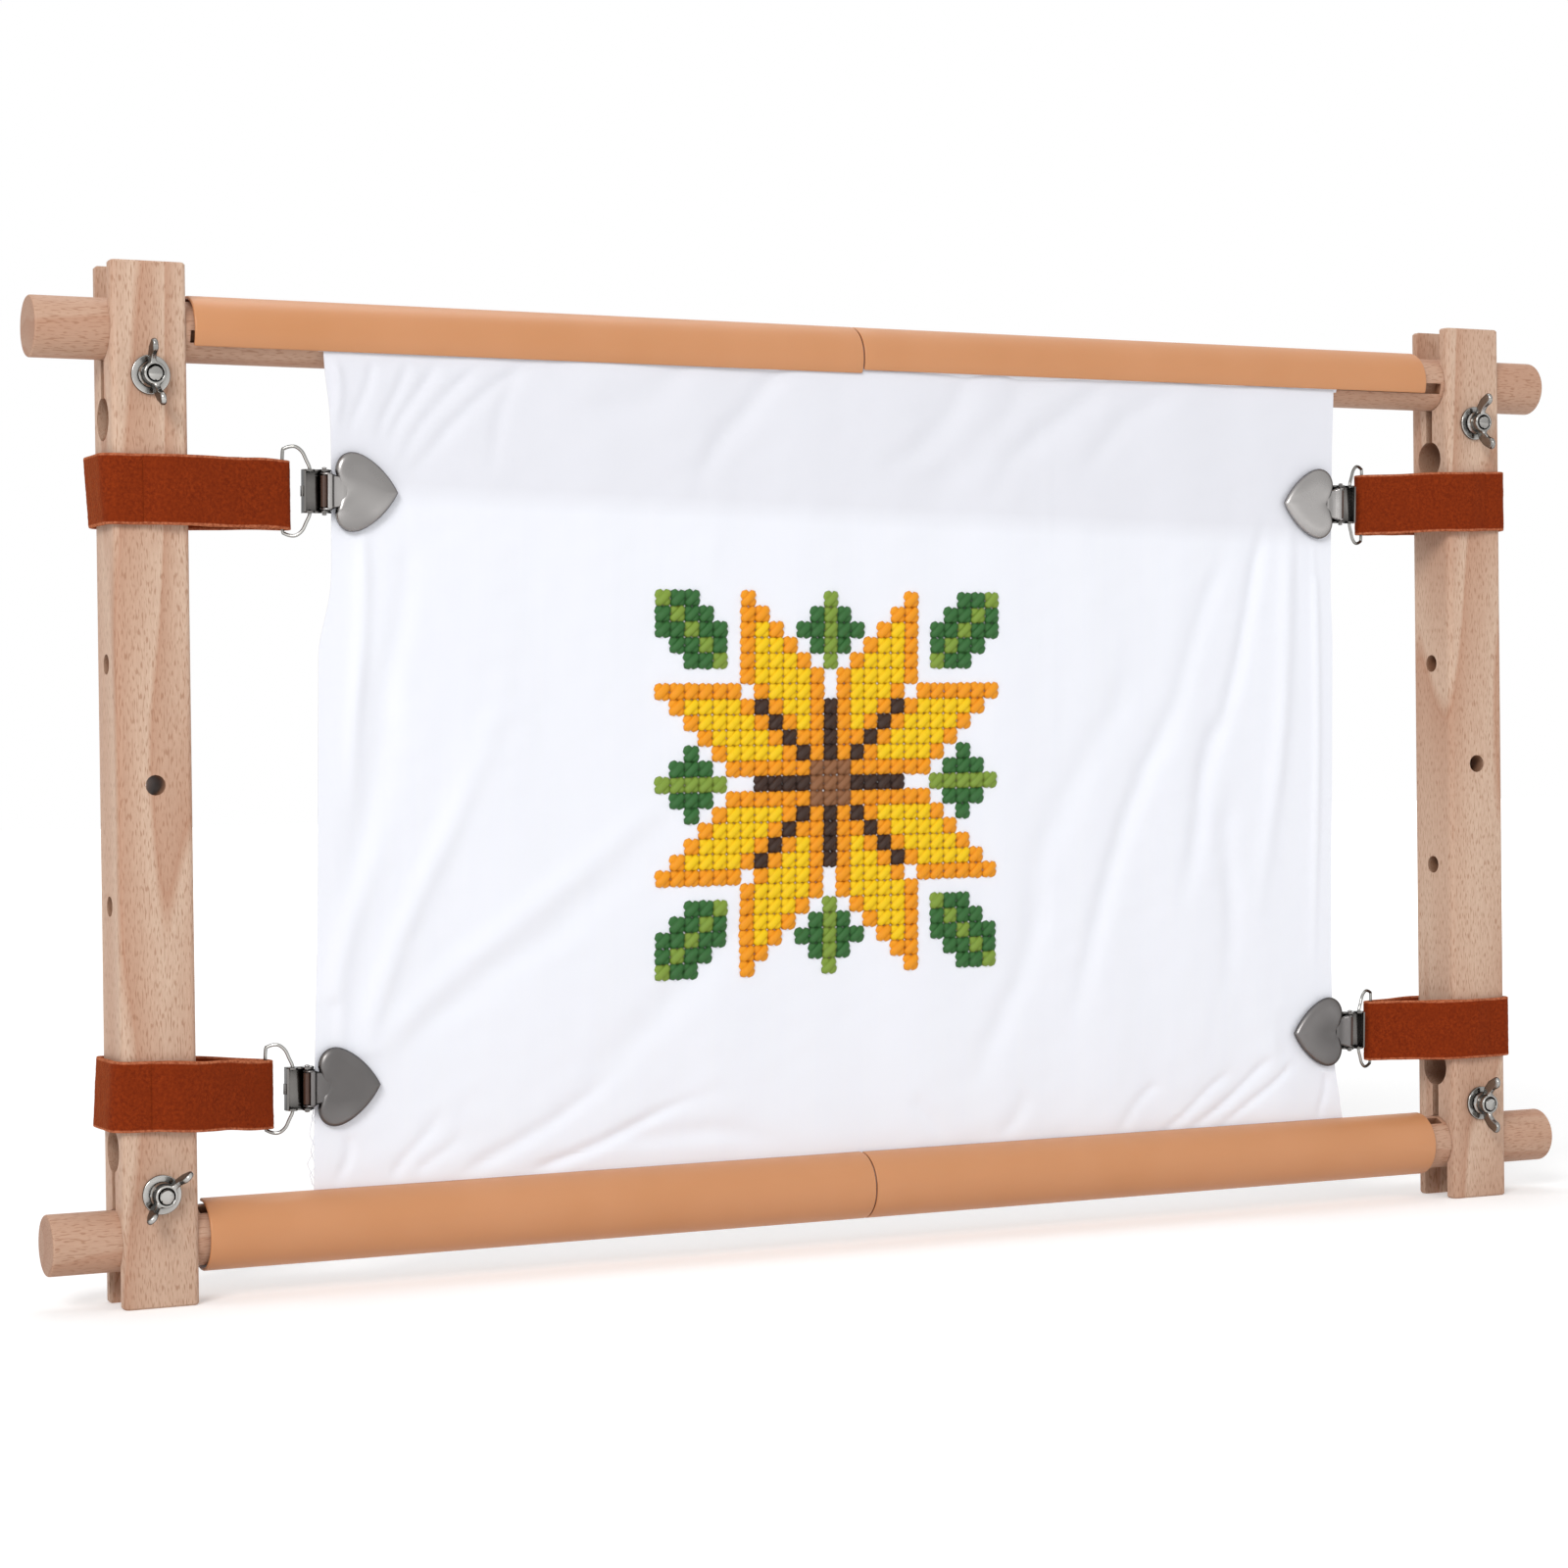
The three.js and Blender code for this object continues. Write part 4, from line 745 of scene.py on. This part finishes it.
def touching(start, centre, radius, side):
    """Where a straight line from a point touches a circle, on its left (1) or right (-1) side."""
    way = centre - start
    return centre + radius * circle(atan2(way[1], way[0]) + side * (pi / 2 + asin(radius / hypot(*way))))


def rounded(corners, radii):
    """A line through points, its inner corners rounded by quadratic curves, each of its own radius."""
    corners = np.array(corners, float)
    parts = [corners[:1]]
    t = np.linspace(0, 1, 8)[:, None]
    for before, corner, after, radius in zip(corners, corners[1:], corners[2:], radii):
        a, b = (corner + (end - corner) * radius / np.linalg.norm(end - corner) for end in (before, after))
        parts.append(a * (1 - t) ** 2 + 2 * corner * t * (1 - t) + b * t ** 2)
    return np.concatenate([*parts, corners[-1:]])


def strap(name):
    """A velvet band swept along its line: a flat section with round edges and a nap of fine ripples."""
    low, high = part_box(name + "_strap")
    rail_low, rail_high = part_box(name.split("_")[1] + "_rail")
    rail, half_rail = (rail_low + rail_high) / 2, (rail_high.x - rail_low.x) / 2
    side = clips[name][1][0]
    height, middle = high.z - low.z, (low.z + high.z) / 2
    bar = loop_points(name, -BAR_DISTANCE, 0)
    bar = np.array([(bar[0] - rail.x) * side, bar[1] - rail.y])
    slack = LEFT_STRAP_SLACK if "left" in name else RIGHT_STRAP_SLACK
    plan = softened(strap_line(bar, half_rail, rail_high.y - rail_low.y, slack), 2)
    plan, run = evenly(plan, 0.8 * MM)
    way = directions(plan)
    path = grid(rail.x + side * plan[:, 0], rail.y + plan[:, 1], middle)
    across = grid(side * -way[:, 1], way[:, 0], 0)
    # The tail's end is pressed flat onto the layer beneath it
    pressed = 0.9 * step_up(run, run[-1] - TAIL_TAPER, run[-1])
    taper = round_ends(run, 0.8 * MM) * (1 - pressed)
    path = path - across * (pressed * STRAP_THICKNESS / 2)[:, None]
    section = band_section(height + 0.9 * MM) * np.stack([taper, 1 - 0.02 * (1 - taper)], -1)[:, None]
    share = (plan[:, 0] - plan[:, 0].min()) / np.ptp(plan[:, 0])
    at_rail, at_loop = np.array(STRAP_RISES[name]) * MM
    path[:, 2] += at_rail + (at_loop - at_rail) * share ** 1.5
    path[:, 2] += 0.15 * MM * ripple(run[:, None], 30 * MM, 21 + len(name))
    points = swept(path, across, (0, 0, 1), section)
    nap = 0.05 * MM * (ripple(points, 1.6 * MM, 7, 10) + ripple(points, 7 * MM, 8, 8))
    points = points + (nap * taper[:, None])[..., None] * (across[:, None] * np.sign(section[..., :1]))
    uv = np.stack(np.broadcast_arrays(run[:, None], section[..., 1] / height + 0.5), -1)
    # Where it stands off the rail's outer face, the band leans
    outside = step_up(-plan[:, 0], half_rail - 3 * MM, half_rail + slack)
    points[..., 0] -= side * outside[:, None] * STRAP_SLANTS[name] * (points[..., 2] - middle) / height * 2
    ends = swept(path, across, (0, 0, 1), section * [0, 1])
    return [(np.concatenate([ends[:1], points[1:-1], ends[-1:]]), uv)]


# Points between a flange and the loop's bar, as shares of the way back and of the way out
LOOP_SHARES = [(0.12, 0.4), (0.28, 0.78), (0.55, 1.0), (0.9, 0.92)]


def wire_loop(name):
    """Bent wire: a round section swept along a smooth line in the plane of the clip."""
    back, out = BAR_DISTANCE - WIRE_HOLE_DISTANCE, LOOP_HALF_HEIGHT - CLIP_HALF_HEIGHT
    half = np.array([
        (-WIRE_HOLE_DISTANCE, CLIP_HALF_HEIGHT - CLIP_SHEET - 0.7 * MM),
        (-WIRE_HOLE_DISTANCE, CLIP_HALF_HEIGHT + WIRE_RADIUS),
        *((-WIRE_HOLE_DISTANCE - back * x, CLIP_HALF_HEIGHT + out * z) for x, z in LOOP_SHARES),
        (-BAR_DISTANCE, LOOP_HALF_HEIGHT - LOOP_CORNER), (-BAR_DISTANCE, 0),
    ])
    line = np.concatenate([half, (half * [1, -1])[::-1]])
    line, run = evenly(through(line, 12), 0.6 * MM)
    way = directions(line)
    inward = clips[name][1]
    flat = inward * cos(LOOP_TILT) + forward * sin(LOOP_TILT)
    across = -way[:, 1:] * flat + way[:, :1] * up_along
    ahead = forward * cos(LOOP_TILT) - inward * sin(LOOP_TILT)
    section = WIRE_RADIUS * circle(np.linspace(0, tau, 17)) * round_ends(run, WIRE_RADIUS)[:, None, None]
    return [swept(loop_points(name, *line.T), across, ahead, section)]


def through(points, steps):
    """A smooth line through points (a Catmull-Rom curve), with steps places between each two."""
    ends = np.concatenate([2 * points[:1] - points[1:2], points, 2 * points[-1:] - points[-2:-1]])
    t = np.linspace(0, 1, steps, endpoint=False)[None, :, None]
    a, b, c, d = (ends[k:len(ends) - 3 + k, None] for k in range(4))
    square, cube = 2 * a - 5 * b + 4 * c - d, 3 * b - a - 3 * c + d
    curve = 0.5 * (2 * b + (c - a) * t + square * t ** 2 + cube * t ** 3)
    return np.concatenate([curve.reshape(-1, points.shape[1]), points[-1:]])


HEART_NOTCH = 6.8 * MM
HEART_LOBE = 4.6 * MM
HEART_TIP = 30.8 * MM
HEART_HALF = 15.9 * MM
HEART_RIM_LEVEL = 1.9 * MM
HEART_DOME = 2.9 * MM


def heart_line():
    """The heart's outline along and up the clip, from its notch round to the notch again."""
    top, length = HEART_HALF, HEART_TIP - HEART_LOBE
    crown = HEART_LOBE + length * 0.27
    before, after, near_tip = crown - length * 0.15, crown + length * 0.22, HEART_TIP - length * 0.16
    lobe = np.linspace((HEART_NOTCH, 0), (HEART_LOBE, -0.52 * top), 12, endpoint=False)
    low = bezier((HEART_LOBE, -0.52 * top), (HEART_LOBE, -0.8 * top), (before, -top), (crown, -top), 16)
    flank = bezier((crown, -top), (after, -top), (near_tip, -0.54 * top), (HEART_TIP, 0), 34)
    half = np.concatenate([lobe, low, flank, [[HEART_TIP, 0]]])
    return np.concatenate([half, (half * [1, -1])[::-1][1:]])


def heart(name):
    """A pressed heart: rings of its outline drawn towards the middle rise as a flat-topped dome, turn
    over a rolled rim and come back inside one sheet's thickness lower."""
    centre = np.array([HEART_LOBE + 0.42 * (HEART_TIP - HEART_LOBE), 0])
    share = np.sin(np.linspace(0, pi / 2, 26))
    dome = (1 - share ** 7) ** (1 / 2.2)
    shares = np.concatenate([share, share[::-1] * (1 - CLIP_SHEET / HEART_HALF)])
    levels = np.concatenate([HEART_DOME * dome, (HEART_DOME - CLIP_SHEET) * dome[::-1]])
    along, up = np.moveaxis(centre + shares[:, None, None] * (heart_line() - centre), -1, 0)
    # The notch is pressed in
    notch = 0.7 * MM * np.exp(-((along - HEART_NOTCH) / (4 * MM)) ** 2 - (up / (3 * MM)) ** 2)
    return [placed(name, along, up, HEART_RIM_LEVEL + levels[:, None] - notch)]


# The lever's neck: rows of the place along the clip, the level and half the width, in millimetres
NECK = [
    (0.6, 4.1, 7.3), (0.7, 4.5, 7.35), (1.0, 4.75, 7.35), (1.6, 4.85, 7.35), (2.2, 4.8, 7.3),
    (2.7, 4.5, 7.2), (3.2, 4.0, 7.0), (3.7, 3.65, 6.8), (4.3, 3.5, 6.6), (5.2, 3.55, 6.4),
    (6.4, 3.8, 6.2), (7.6, 4.1, 6.1), (8.6, 4.2, 6.0),
]
NECK_SHEET = 0.6 * MM
EAR_FROM_MIDDLE = 6.95 * MM


def neck(name):
    """The lever's neck, pressed from the same sheet: a rounded ridge over the pin that steps down and
    narrows into the heart's notch, with two ears on the pin."""
    path, _ = evenly(through(np.array(NECK) * MM, 8), 0.12 * MM)
    along, level, half = path.T[..., None]
    across = np.linspace(-1, 1, 61)
    level = level - 0.9 * MM * np.clip((np.abs(across) - 0.88) / 0.12, 0, 1) ** 2
    along, up = np.broadcast_arrays(along, half * across)
    outer, inner = placed(name, along, up, level), placed(name, along, up * 0.97, level - NECK_SHEET)
    sheet, _ = closed_sheet(outer, inner, np.zeros((*up.shape, 2)))
    return [sheet, *(ear(name, side * EAR_FROM_MIDDLE) for side in (-1, 1))]


# The section of an ear: its radius and its place along the pin
EAR = [(1.0, -0.4), (1.5, -0.4), (1.7, -0.25), (1.7, 0.25), (1.5, 0.4), (1.0, 0.4), (1.0, -0.4)]


def ear(name, up):
    """An ear: a round-edged ring on the pin, drawn up to the neck's ridge."""
    origin, inward = clips[name]
    ring = turned(np.array(EAR) * MM, placed(name, 0, up, PIN_LEVEL), up_along, inward, 28)
    drawn = step_up((ring - origin) @ forward, PIN_LEVEL, PIN_LEVEL + 1.7 * MM)[..., None]
    return ring + drawn * (forward * 1.0 * MM + inward * 0.8 * MM)


def pin(name):
    """The hinge pin: a shank with a round head at both ends."""
    low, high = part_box(name + "_clip_pin")
    shank = (high.z - low.z) / 2 - 0.6 * MM
    head = [(1.1 * MM * cos(a), shank + 0.6 * MM * sin(a)) for a in np.linspace(0, pi / 2, 6)]
    profile = [(0, 0), (0.75 * MM, 0), (0.75 * MM, shank), *head]
    centre, inward = placed(name, 0, 0, PIN_LEVEL), clips[name][1]
    return [turned(profile, centre, way * up_along, inward, 24) for way in (1, -1)]


# Bolts, washers and wing nuts

def bolt(name):
    """A carriage bolt: domed head, square neck and a shank whose front end carries a helical thread.

    The profile is (radius, y) rows. The neck's radius goes round a square; the thread takes a triangle
    wave of the turn and y off the radius."""
    low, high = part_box(name + "_bolt")
    head, rise, half = (high.x - low.x) / 2, 3.3 * MM, 3 * MM
    seat = high.y - rise
    under_neck = seat - 3.6 * MM
    ball = (head ** 2 + rise ** 2) / (2 * rise)
    dome = [(ball * sin(a), high.y - ball * (1 - cos(a))) for a in np.linspace(0, asin(head / ball), 12)]
    thread_start = low.y + 20 * MM
    cut = [(half, y) for y in np.linspace(thread_start, low.y + 0.5 * MM, 160)]
    radius, y = np.array([
        *dome, (head - 0.3 * MM, seat), (4 * MM, seat), (half, seat), (half, under_neck),
        (half, under_neck - 0.3 * MM), (half, thread_start), *cut, (2.4 * MM, low.y), (0, low.y),
    ]).T[..., None]
    turn = np.linspace(0, tau, 37)
    wave = np.abs((y / THREAD_PITCH - turn / tau) % 1 - 0.5) * 2
    depth = 0.32 * MM * (radius > 2.9 * MM) * step_up(-y, -thread_start, THREAD_PITCH - thread_start)
    radii = radius - depth * wave
    square = half / np.maximum(np.abs(np.cos(turn)), np.abs(np.sin(turn)))
    radii[len(dome) + 2:len(dome) + 4] = np.minimum(square, 3.8 * MM)
    x, z = (low.x + high.x) / 2, (low.z + high.z) / 2
    return [grid(x + radii * np.cos(turn), y, z + radii * np.sin(turn))]


def washer(name):
    """A flat punched ring with one edge rounded by the punch."""
    low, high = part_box(name + "_washer")
    outer, thick = (high.x - low.x) / 2, high.y - low.y
    edge, cut = 0.35 * MM, 0.1 * MM
    bore = 3.3 * MM
    front = [(outer - edge + edge * sin(a), edge - edge * cos(a)) for a in np.linspace(0, pi / 2, 6)]
    profile = [(bore, cut), (bore + cut, 0), *front, (outer, thick - cut), (outer - cut, thick),
               (bore, thick), (bore, cut)]
    return [turned(profile, ((low.x + high.x) / 2, low.y, (low.z + high.z) / 2), (0, 1, 0), (1, 0, 0), 56)]


def wing_nut(name, body):
    """The nut's own shape with its edges run together as a hot-pressed nut's are: the surface is laid
    out again in small even faces, and these are smoothed."""
    piece = refined(name + "_wing_nut", name + "_wings", zinc, body)
    modify(piece, "REMESH", mode="VOXEL", voxel_size=0.32 * MM, use_smooth_shade=True)
    modify(piece, "SMOOTH", factor=0.6, iterations=7)


# Embroidery: counted cross stitch, a traditional eight-pointed star with leaf sprays in its corners

# Each thread: its name, its colour, and a darker colour painted as shade between its strands
STITCH_COLOURS = {
    "Y": ("marigold", "#ffe000", "#f2bb00"), "O": ("amber", "#ffab12", "#ea8c00"),
    "B": ("dark_brown", "#3e2213", "#1f1008"), "T": ("tan", "#a8734a", "#6e4529"),
    "G": ("dark_green", "#3b7a38", "#174a1c"), "L": ("leaf_green", "#9ab646", "#5c7a22"),
}


def star_stitch(i, j):
    """The thread of one stitch of the chart, which is the same in all eight of its mirrored parts.

    a and b count from the middle, a along the nearer axis. Eight rhombi, outlined in amber, stand
    between brown rays; green sprays fill the corners and small diamonds the axes' ends."""
    a, b = max(abs(i), abs(j)), min(abs(i), abs(j))
    if a <= 1:
        return "T"
    if a <= 5 and (b == 0 or a == b):
        return "B"
    if 1 <= b <= 6 and 1 <= a - b <= 6:
        return "O" if b in (1, 6) or a - b in (1, 6) else "Y"
    if b >= 8 and a - b <= min(2, a + b - 16, 24 - a - b):
        return "L" if a == b else "G"
    if abs(a - 10) + b <= 2:
        return "L" if b == 0 else "G"
    return None


# The two legs of a cross: its lean, half width, half height and lift
STITCH_LEGS = [(-1, 2.3 * MM, 0.8 * MM, 0.2 * MM), (1, 1.9 * MM, 1.15 * MM, 0.8 * MM)]


def make_stitches(body):
    """Every cross is two plump strands from corner to corner: a spindle whose round section swells in
    the middle and dives into the cloth at both ends. The second lies over the first."""
    s = np.linspace(-1, 1, 9)[:, None]
    turn = np.linspace(0, tau, 9)[None, :]
    swell = (1 - s ** 6) ** 0.5
    reach = 0.5 * STITCH_PITCH
    rng = np.random.default_rng(12)
    cells = {}
    for i in range(-12, 13):
        for j in range(-12, 13):
            thread = star_stitch(i, j)
            if thread:
                cells.setdefault(thread, []).append((i, j))
    for thread, places in cells.items():
        name, light, dark = STITCH_COLOURS[thread]
        grids = []
        for i, j in places:
            for way, width, height, lift in STITCH_LEGS:
                side = width * rng.uniform(0.96, 1.04) * swell * np.cos(turn)
                level = lift * (1 - s ** 2) + height * swell * np.sin(turn) - 0.2 * MM * s ** 2
                shift = rng.uniform(-0.12, 0.12, 2) * MM
                x = STITCH_CENTRE.x + i * STITCH_PITCH + shift[0] + way * reach * s - side / sqrt(2)
                z = STITCH_CENTRE.z + j * STITCH_PITCH + shift[1] + reach * s + way * side / sqrt(2)
                points = cloth_front(x, z)
                points[..., 1] -= level
                uv = np.stack([s * reach * sqrt(2) + 0 * turn, side + 0 * s], -1)
                grids.append((points, uv))
        yarn = material(name + "_cotton", "cloth", stranded_cotton, light, dark)
        build("stitches_" + name, grids, yarn, body, smooth=80)


# Assembly

rail_wood = material("sanded_beech_rail", "beech", beech, (0, 0, 1), 1.0, (1, 1, 0.12), (1, 1, 0.17),
                     (0, 0, 0))
roller_wood = material("turned_beech_roller", "beech", beech, (1, 0, 0), 0.45, (0.1, 1, 1), (0.17, 1, 1),
                       (0, 0.1, 0))
peach = material("extruded_peach_vinyl", "cover_plastic", cover_plastic)
white_cotton = material("white_cotton", "cloth", cotton)
rust_velvet = material("rust_velvet_strap", "strap_velvet", velvet)
# The second colour of each steel is its painted dark reflection where it turns away, in patches and in
# nooks
zinc = material("zinc_plated_steel", "zinc_steel", steel, "#bfbdb9", "#2f2d2a", 0.18, (1, 1, 1), 0.1)
nickel = material("satin_nickel_plate", "clip_steel", steel, "#b0adab", "#5b5857", 0.3, (0.15, 1, 1), 0.12)
# A darker copy of the satin nickel for the lower levers: painted darker reflection
shaded_nickel = material("satin_nickel_painted_darker", "clip_steel", steel, "#807d7c", "#454342", 0.34, (0.15, 1, 1),
                       0.12)
# The trays' nickel is painted darker: painted shade and dark reflection for their deep insides
tray_nickel_shaded = material("polished_nickel_painted_dark", "clip_steel", steel, "#7d7a77", "#2b2a29", 0.13,
                           (1, 1, 1), 0.03)
wire_steel = material("nickel_plated_wire", "loop_steel", steel, "#b9b8b4", "#33322f", 0.16, (1, 1, 1),
                      0.02)
brown_nylon = material("moulded_brown_nylon", "insert_plastic", insert_plastic)

for side in ("left", "right"):
    bevelled(side + "_rail", side + "_rail_planed", rail_wood, side + "_frame", 0.35 * MM)
for end, groove, starts, way in [("top", TOP_GROOVE, (TOP_LEFT_COVER, TOP_RIGHT_COVER), 1),
                                 ("bottom", BOTTOM_GROOVE, (BOTTOM_LEFT_COVER, BOTTOM_RIGHT_COVER), -1)]:
    bar, wrap, body = end + "_roller", f"cloth_{end}_wrap", end + "_roller_set"
    inner = roller_radius + WRAP_CLEARANCE
    build(bar + "_turned", roller(bar, groove), roller_wood, body, [bar], smooth=35)
    for side, start in zip(("left", "right"), starts):
        cover = f"{end}_{side}_cover"
        layer = arc_layer(cover, inner + WRAP_THICKNESS + COVER_CLEARANCE, COVER_WALL, start,
                          way * COVER_SPAN)
        build(cover + "_shell", layer, peach, body, [cover])
    layer = arc_layer(wrap, inner, WRAP_THICKNESS, starts[0] - way * WRAP_LIP,
                      way * (COVER_SPAN + WRAP_TAIL + WRAP_LIP))
    build(wrap + "_turn", layer, white_cotton, body, [wrap])

HIGH_SEAM, LOW_SEAM = 362 * MM, 47 * MM
sheet = build("cloth_stretched", cloth_part(closer(LOW_SEAM, HIGH_SEAM, 165, 0.8)), white_cotton,
              "left_frame", ["cloth_sheet"], smooth=60)
rows = np.linspace(HIGH_SEAM, tangent_height(top_axis, TOP_LEFT_COVER), 14)
top_end = build("cloth_top_end", cloth_part(rows), white_cotton, None, smooth=60)
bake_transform(top_end)
rows = np.linspace(tangent_height(bottom_axis, BOTTOM_LEFT_COVER), LOW_SEAM, 14)
bottom_end = build("cloth_bottom_end", cloth_part(rows), white_cotton, None, smooth=60)
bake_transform(bottom_end)
make_stitches("left_frame")
build("frayed_threads", frays(), white_cotton, "left_frame")

for corner, corner_side, corner_end in CORNERS:
    rail_body = "left_frame" if corner_side < 0 else "right_frame"
    strap_body, lever_body = corner + "_strap_set", corner + "_lever_set"
    # The lower clips' levers take the darker copy of the nickel: painted darker reflection
    plate = nickel if corner_end > 0 else shaded_nickel
    for shape, piece, finish, body, node, smooth in [
        (bolt, "carriage_bolt", zinc, rail_body, "bolt", 50),
        (washer, "ring", zinc, corner + "_washer_set", "washer", 40),
        (strap, "band", rust_velvet, strap_body, "strap", 70),
        (wire_loop, "wire", wire_steel, strap_body, "wire_loop", 40),
        (pin, "pin", nickel, strap_body, "clip_pin", 40),
        (heart, "heart", plate, lever_body, "heart_lever", 75),
        (neck, "neck", plate, lever_body, None, 60),
    ]:
        replaces = [f"{corner}_{node}"] if node else []
        build(f"{corner}_{piece}", shape(corner), finish, body, replaces, smooth)
    wing_nut(corner, corner + "_nut_set")
    bevelled(corner + "_clip_body", corner + "_tray", tray_nickel_shaded, strap_body, 0.15 * MM)
    bevelled(corner + "_clip_insert", corner + "_insert", brown_nylon, lever_body, 0.12 * MM)


# Floor, light and camera

def background_rays(node):
    """1 where the camera looks at the background, or sees it in metal or through a clear part."""
    camera, glossy, clear = (node("LightPath", give=f"Is {ray} Ray")
                             for ray in ("Camera", "Glossy", "Transmission"))
    return node("Math", node("Math", camera, glossy, operation="MAXIMUM"), clear, operation="MAXIMUM")


def floor_paint(node):
    """Pale matt paint. Its white glow grows away from the frame, where the lamps reach less."""
    away = node("VectorMath", node("TexCoord", give="Object"), operation="LENGTH")
    level = node("MapRange", away, 0.5, 3.0, 0.3, 0.9)
    strength = node("Math", background_rays(node), level, operation="MULTIPLY")
    glow = node("Emission", Color=(1, 1, 1, 1), Strength=strength)
    return node("AddShader", glow, node("BsdfDiffuse", Color="#f4f4f4"))


def stage_floor():
    """A plain pale floor that the camera and the metal see as white, with the frame's soft shadow."""
    mesh = bpy.data.meshes.new("floor")
    mesh.from_pydata([(-8, -8, 0), (8, -8, 0), (8, 8, 0), (-8, 8, 0)], [], [range(4)])
    mesh.materials.append(material("pale_floor", None, floor_paint)[0])
    put("floor", mesh)


def world_light(strength):
    """An even white room: white where the camera or a reflection looks, and a softer grey as light."""
    world = bpy.data.worlds.new("white room")
    bpy.context.scene.world = world
    world.use_nodes = True
    world.node_tree.nodes.clear()
    node = partial(add, world.node_tree)
    level = node("MapRange", background_rays(node), 0.0, 1.0, strength, 1.0)
    node("OutputWorld", Surface=node("Background", Color=(1, 1, 1, 1), Strength=level))


def soft_lamp(name, place, aim, size, power):
    """A square softbox that faces a point."""
    lamp = bpy.data.lights.new(name, "AREA")
    lamp.shape, lamp.size, lamp.energy = "SQUARE", size, power
    stand = put(name, lamp)
    stand.location = place
    stand.rotation_euler = (Vector(aim) - Vector(place)).to_track_quat("-Z", "Y").to_euler()
    return stand


def photo_camera():
    """The photograph's camera: a long lens to the left of the frame's middle, at about half its height."""
    lens = bpy.data.cameras.new("camera")
    lens.sensor_width, lens.lens = 36, 79.33
    lens.clip_start, lens.clip_end = 0.1, 40
    camera = put("camera", lens)
    turn = (Matrix.Rotation(radians(0.9126), 4, "Y") @ Matrix.Rotation(radians(-0.3236), 4, "X")
            @ Matrix.Rotation(radians(-26.068), 4, "Z") @ Matrix.Rotation(pi / 2, 4, "X"))
    camera.matrix_world = Matrix.Translation((-0.68342, -1.31432, 0.21623)) @ turn
    bpy.context.scene.camera = camera


stage_floor()
world_light(0.49)
soft_lamp("key", (-2.4, -2.475, 2.1), (0, 0, 0.2), 1.35, 71)
soft_lamp("fill", (1.6, -1.5, 0.8), (0, 0, 0.2), 1.4, 5).visible_glossy = False
soft_lamp("top", (0.1, 0.5, 1.8), (0, 0, 0.2), 1.0, 6)
photo_camera()
bpy.context.scene.view_settings.view_transform = "Standard"
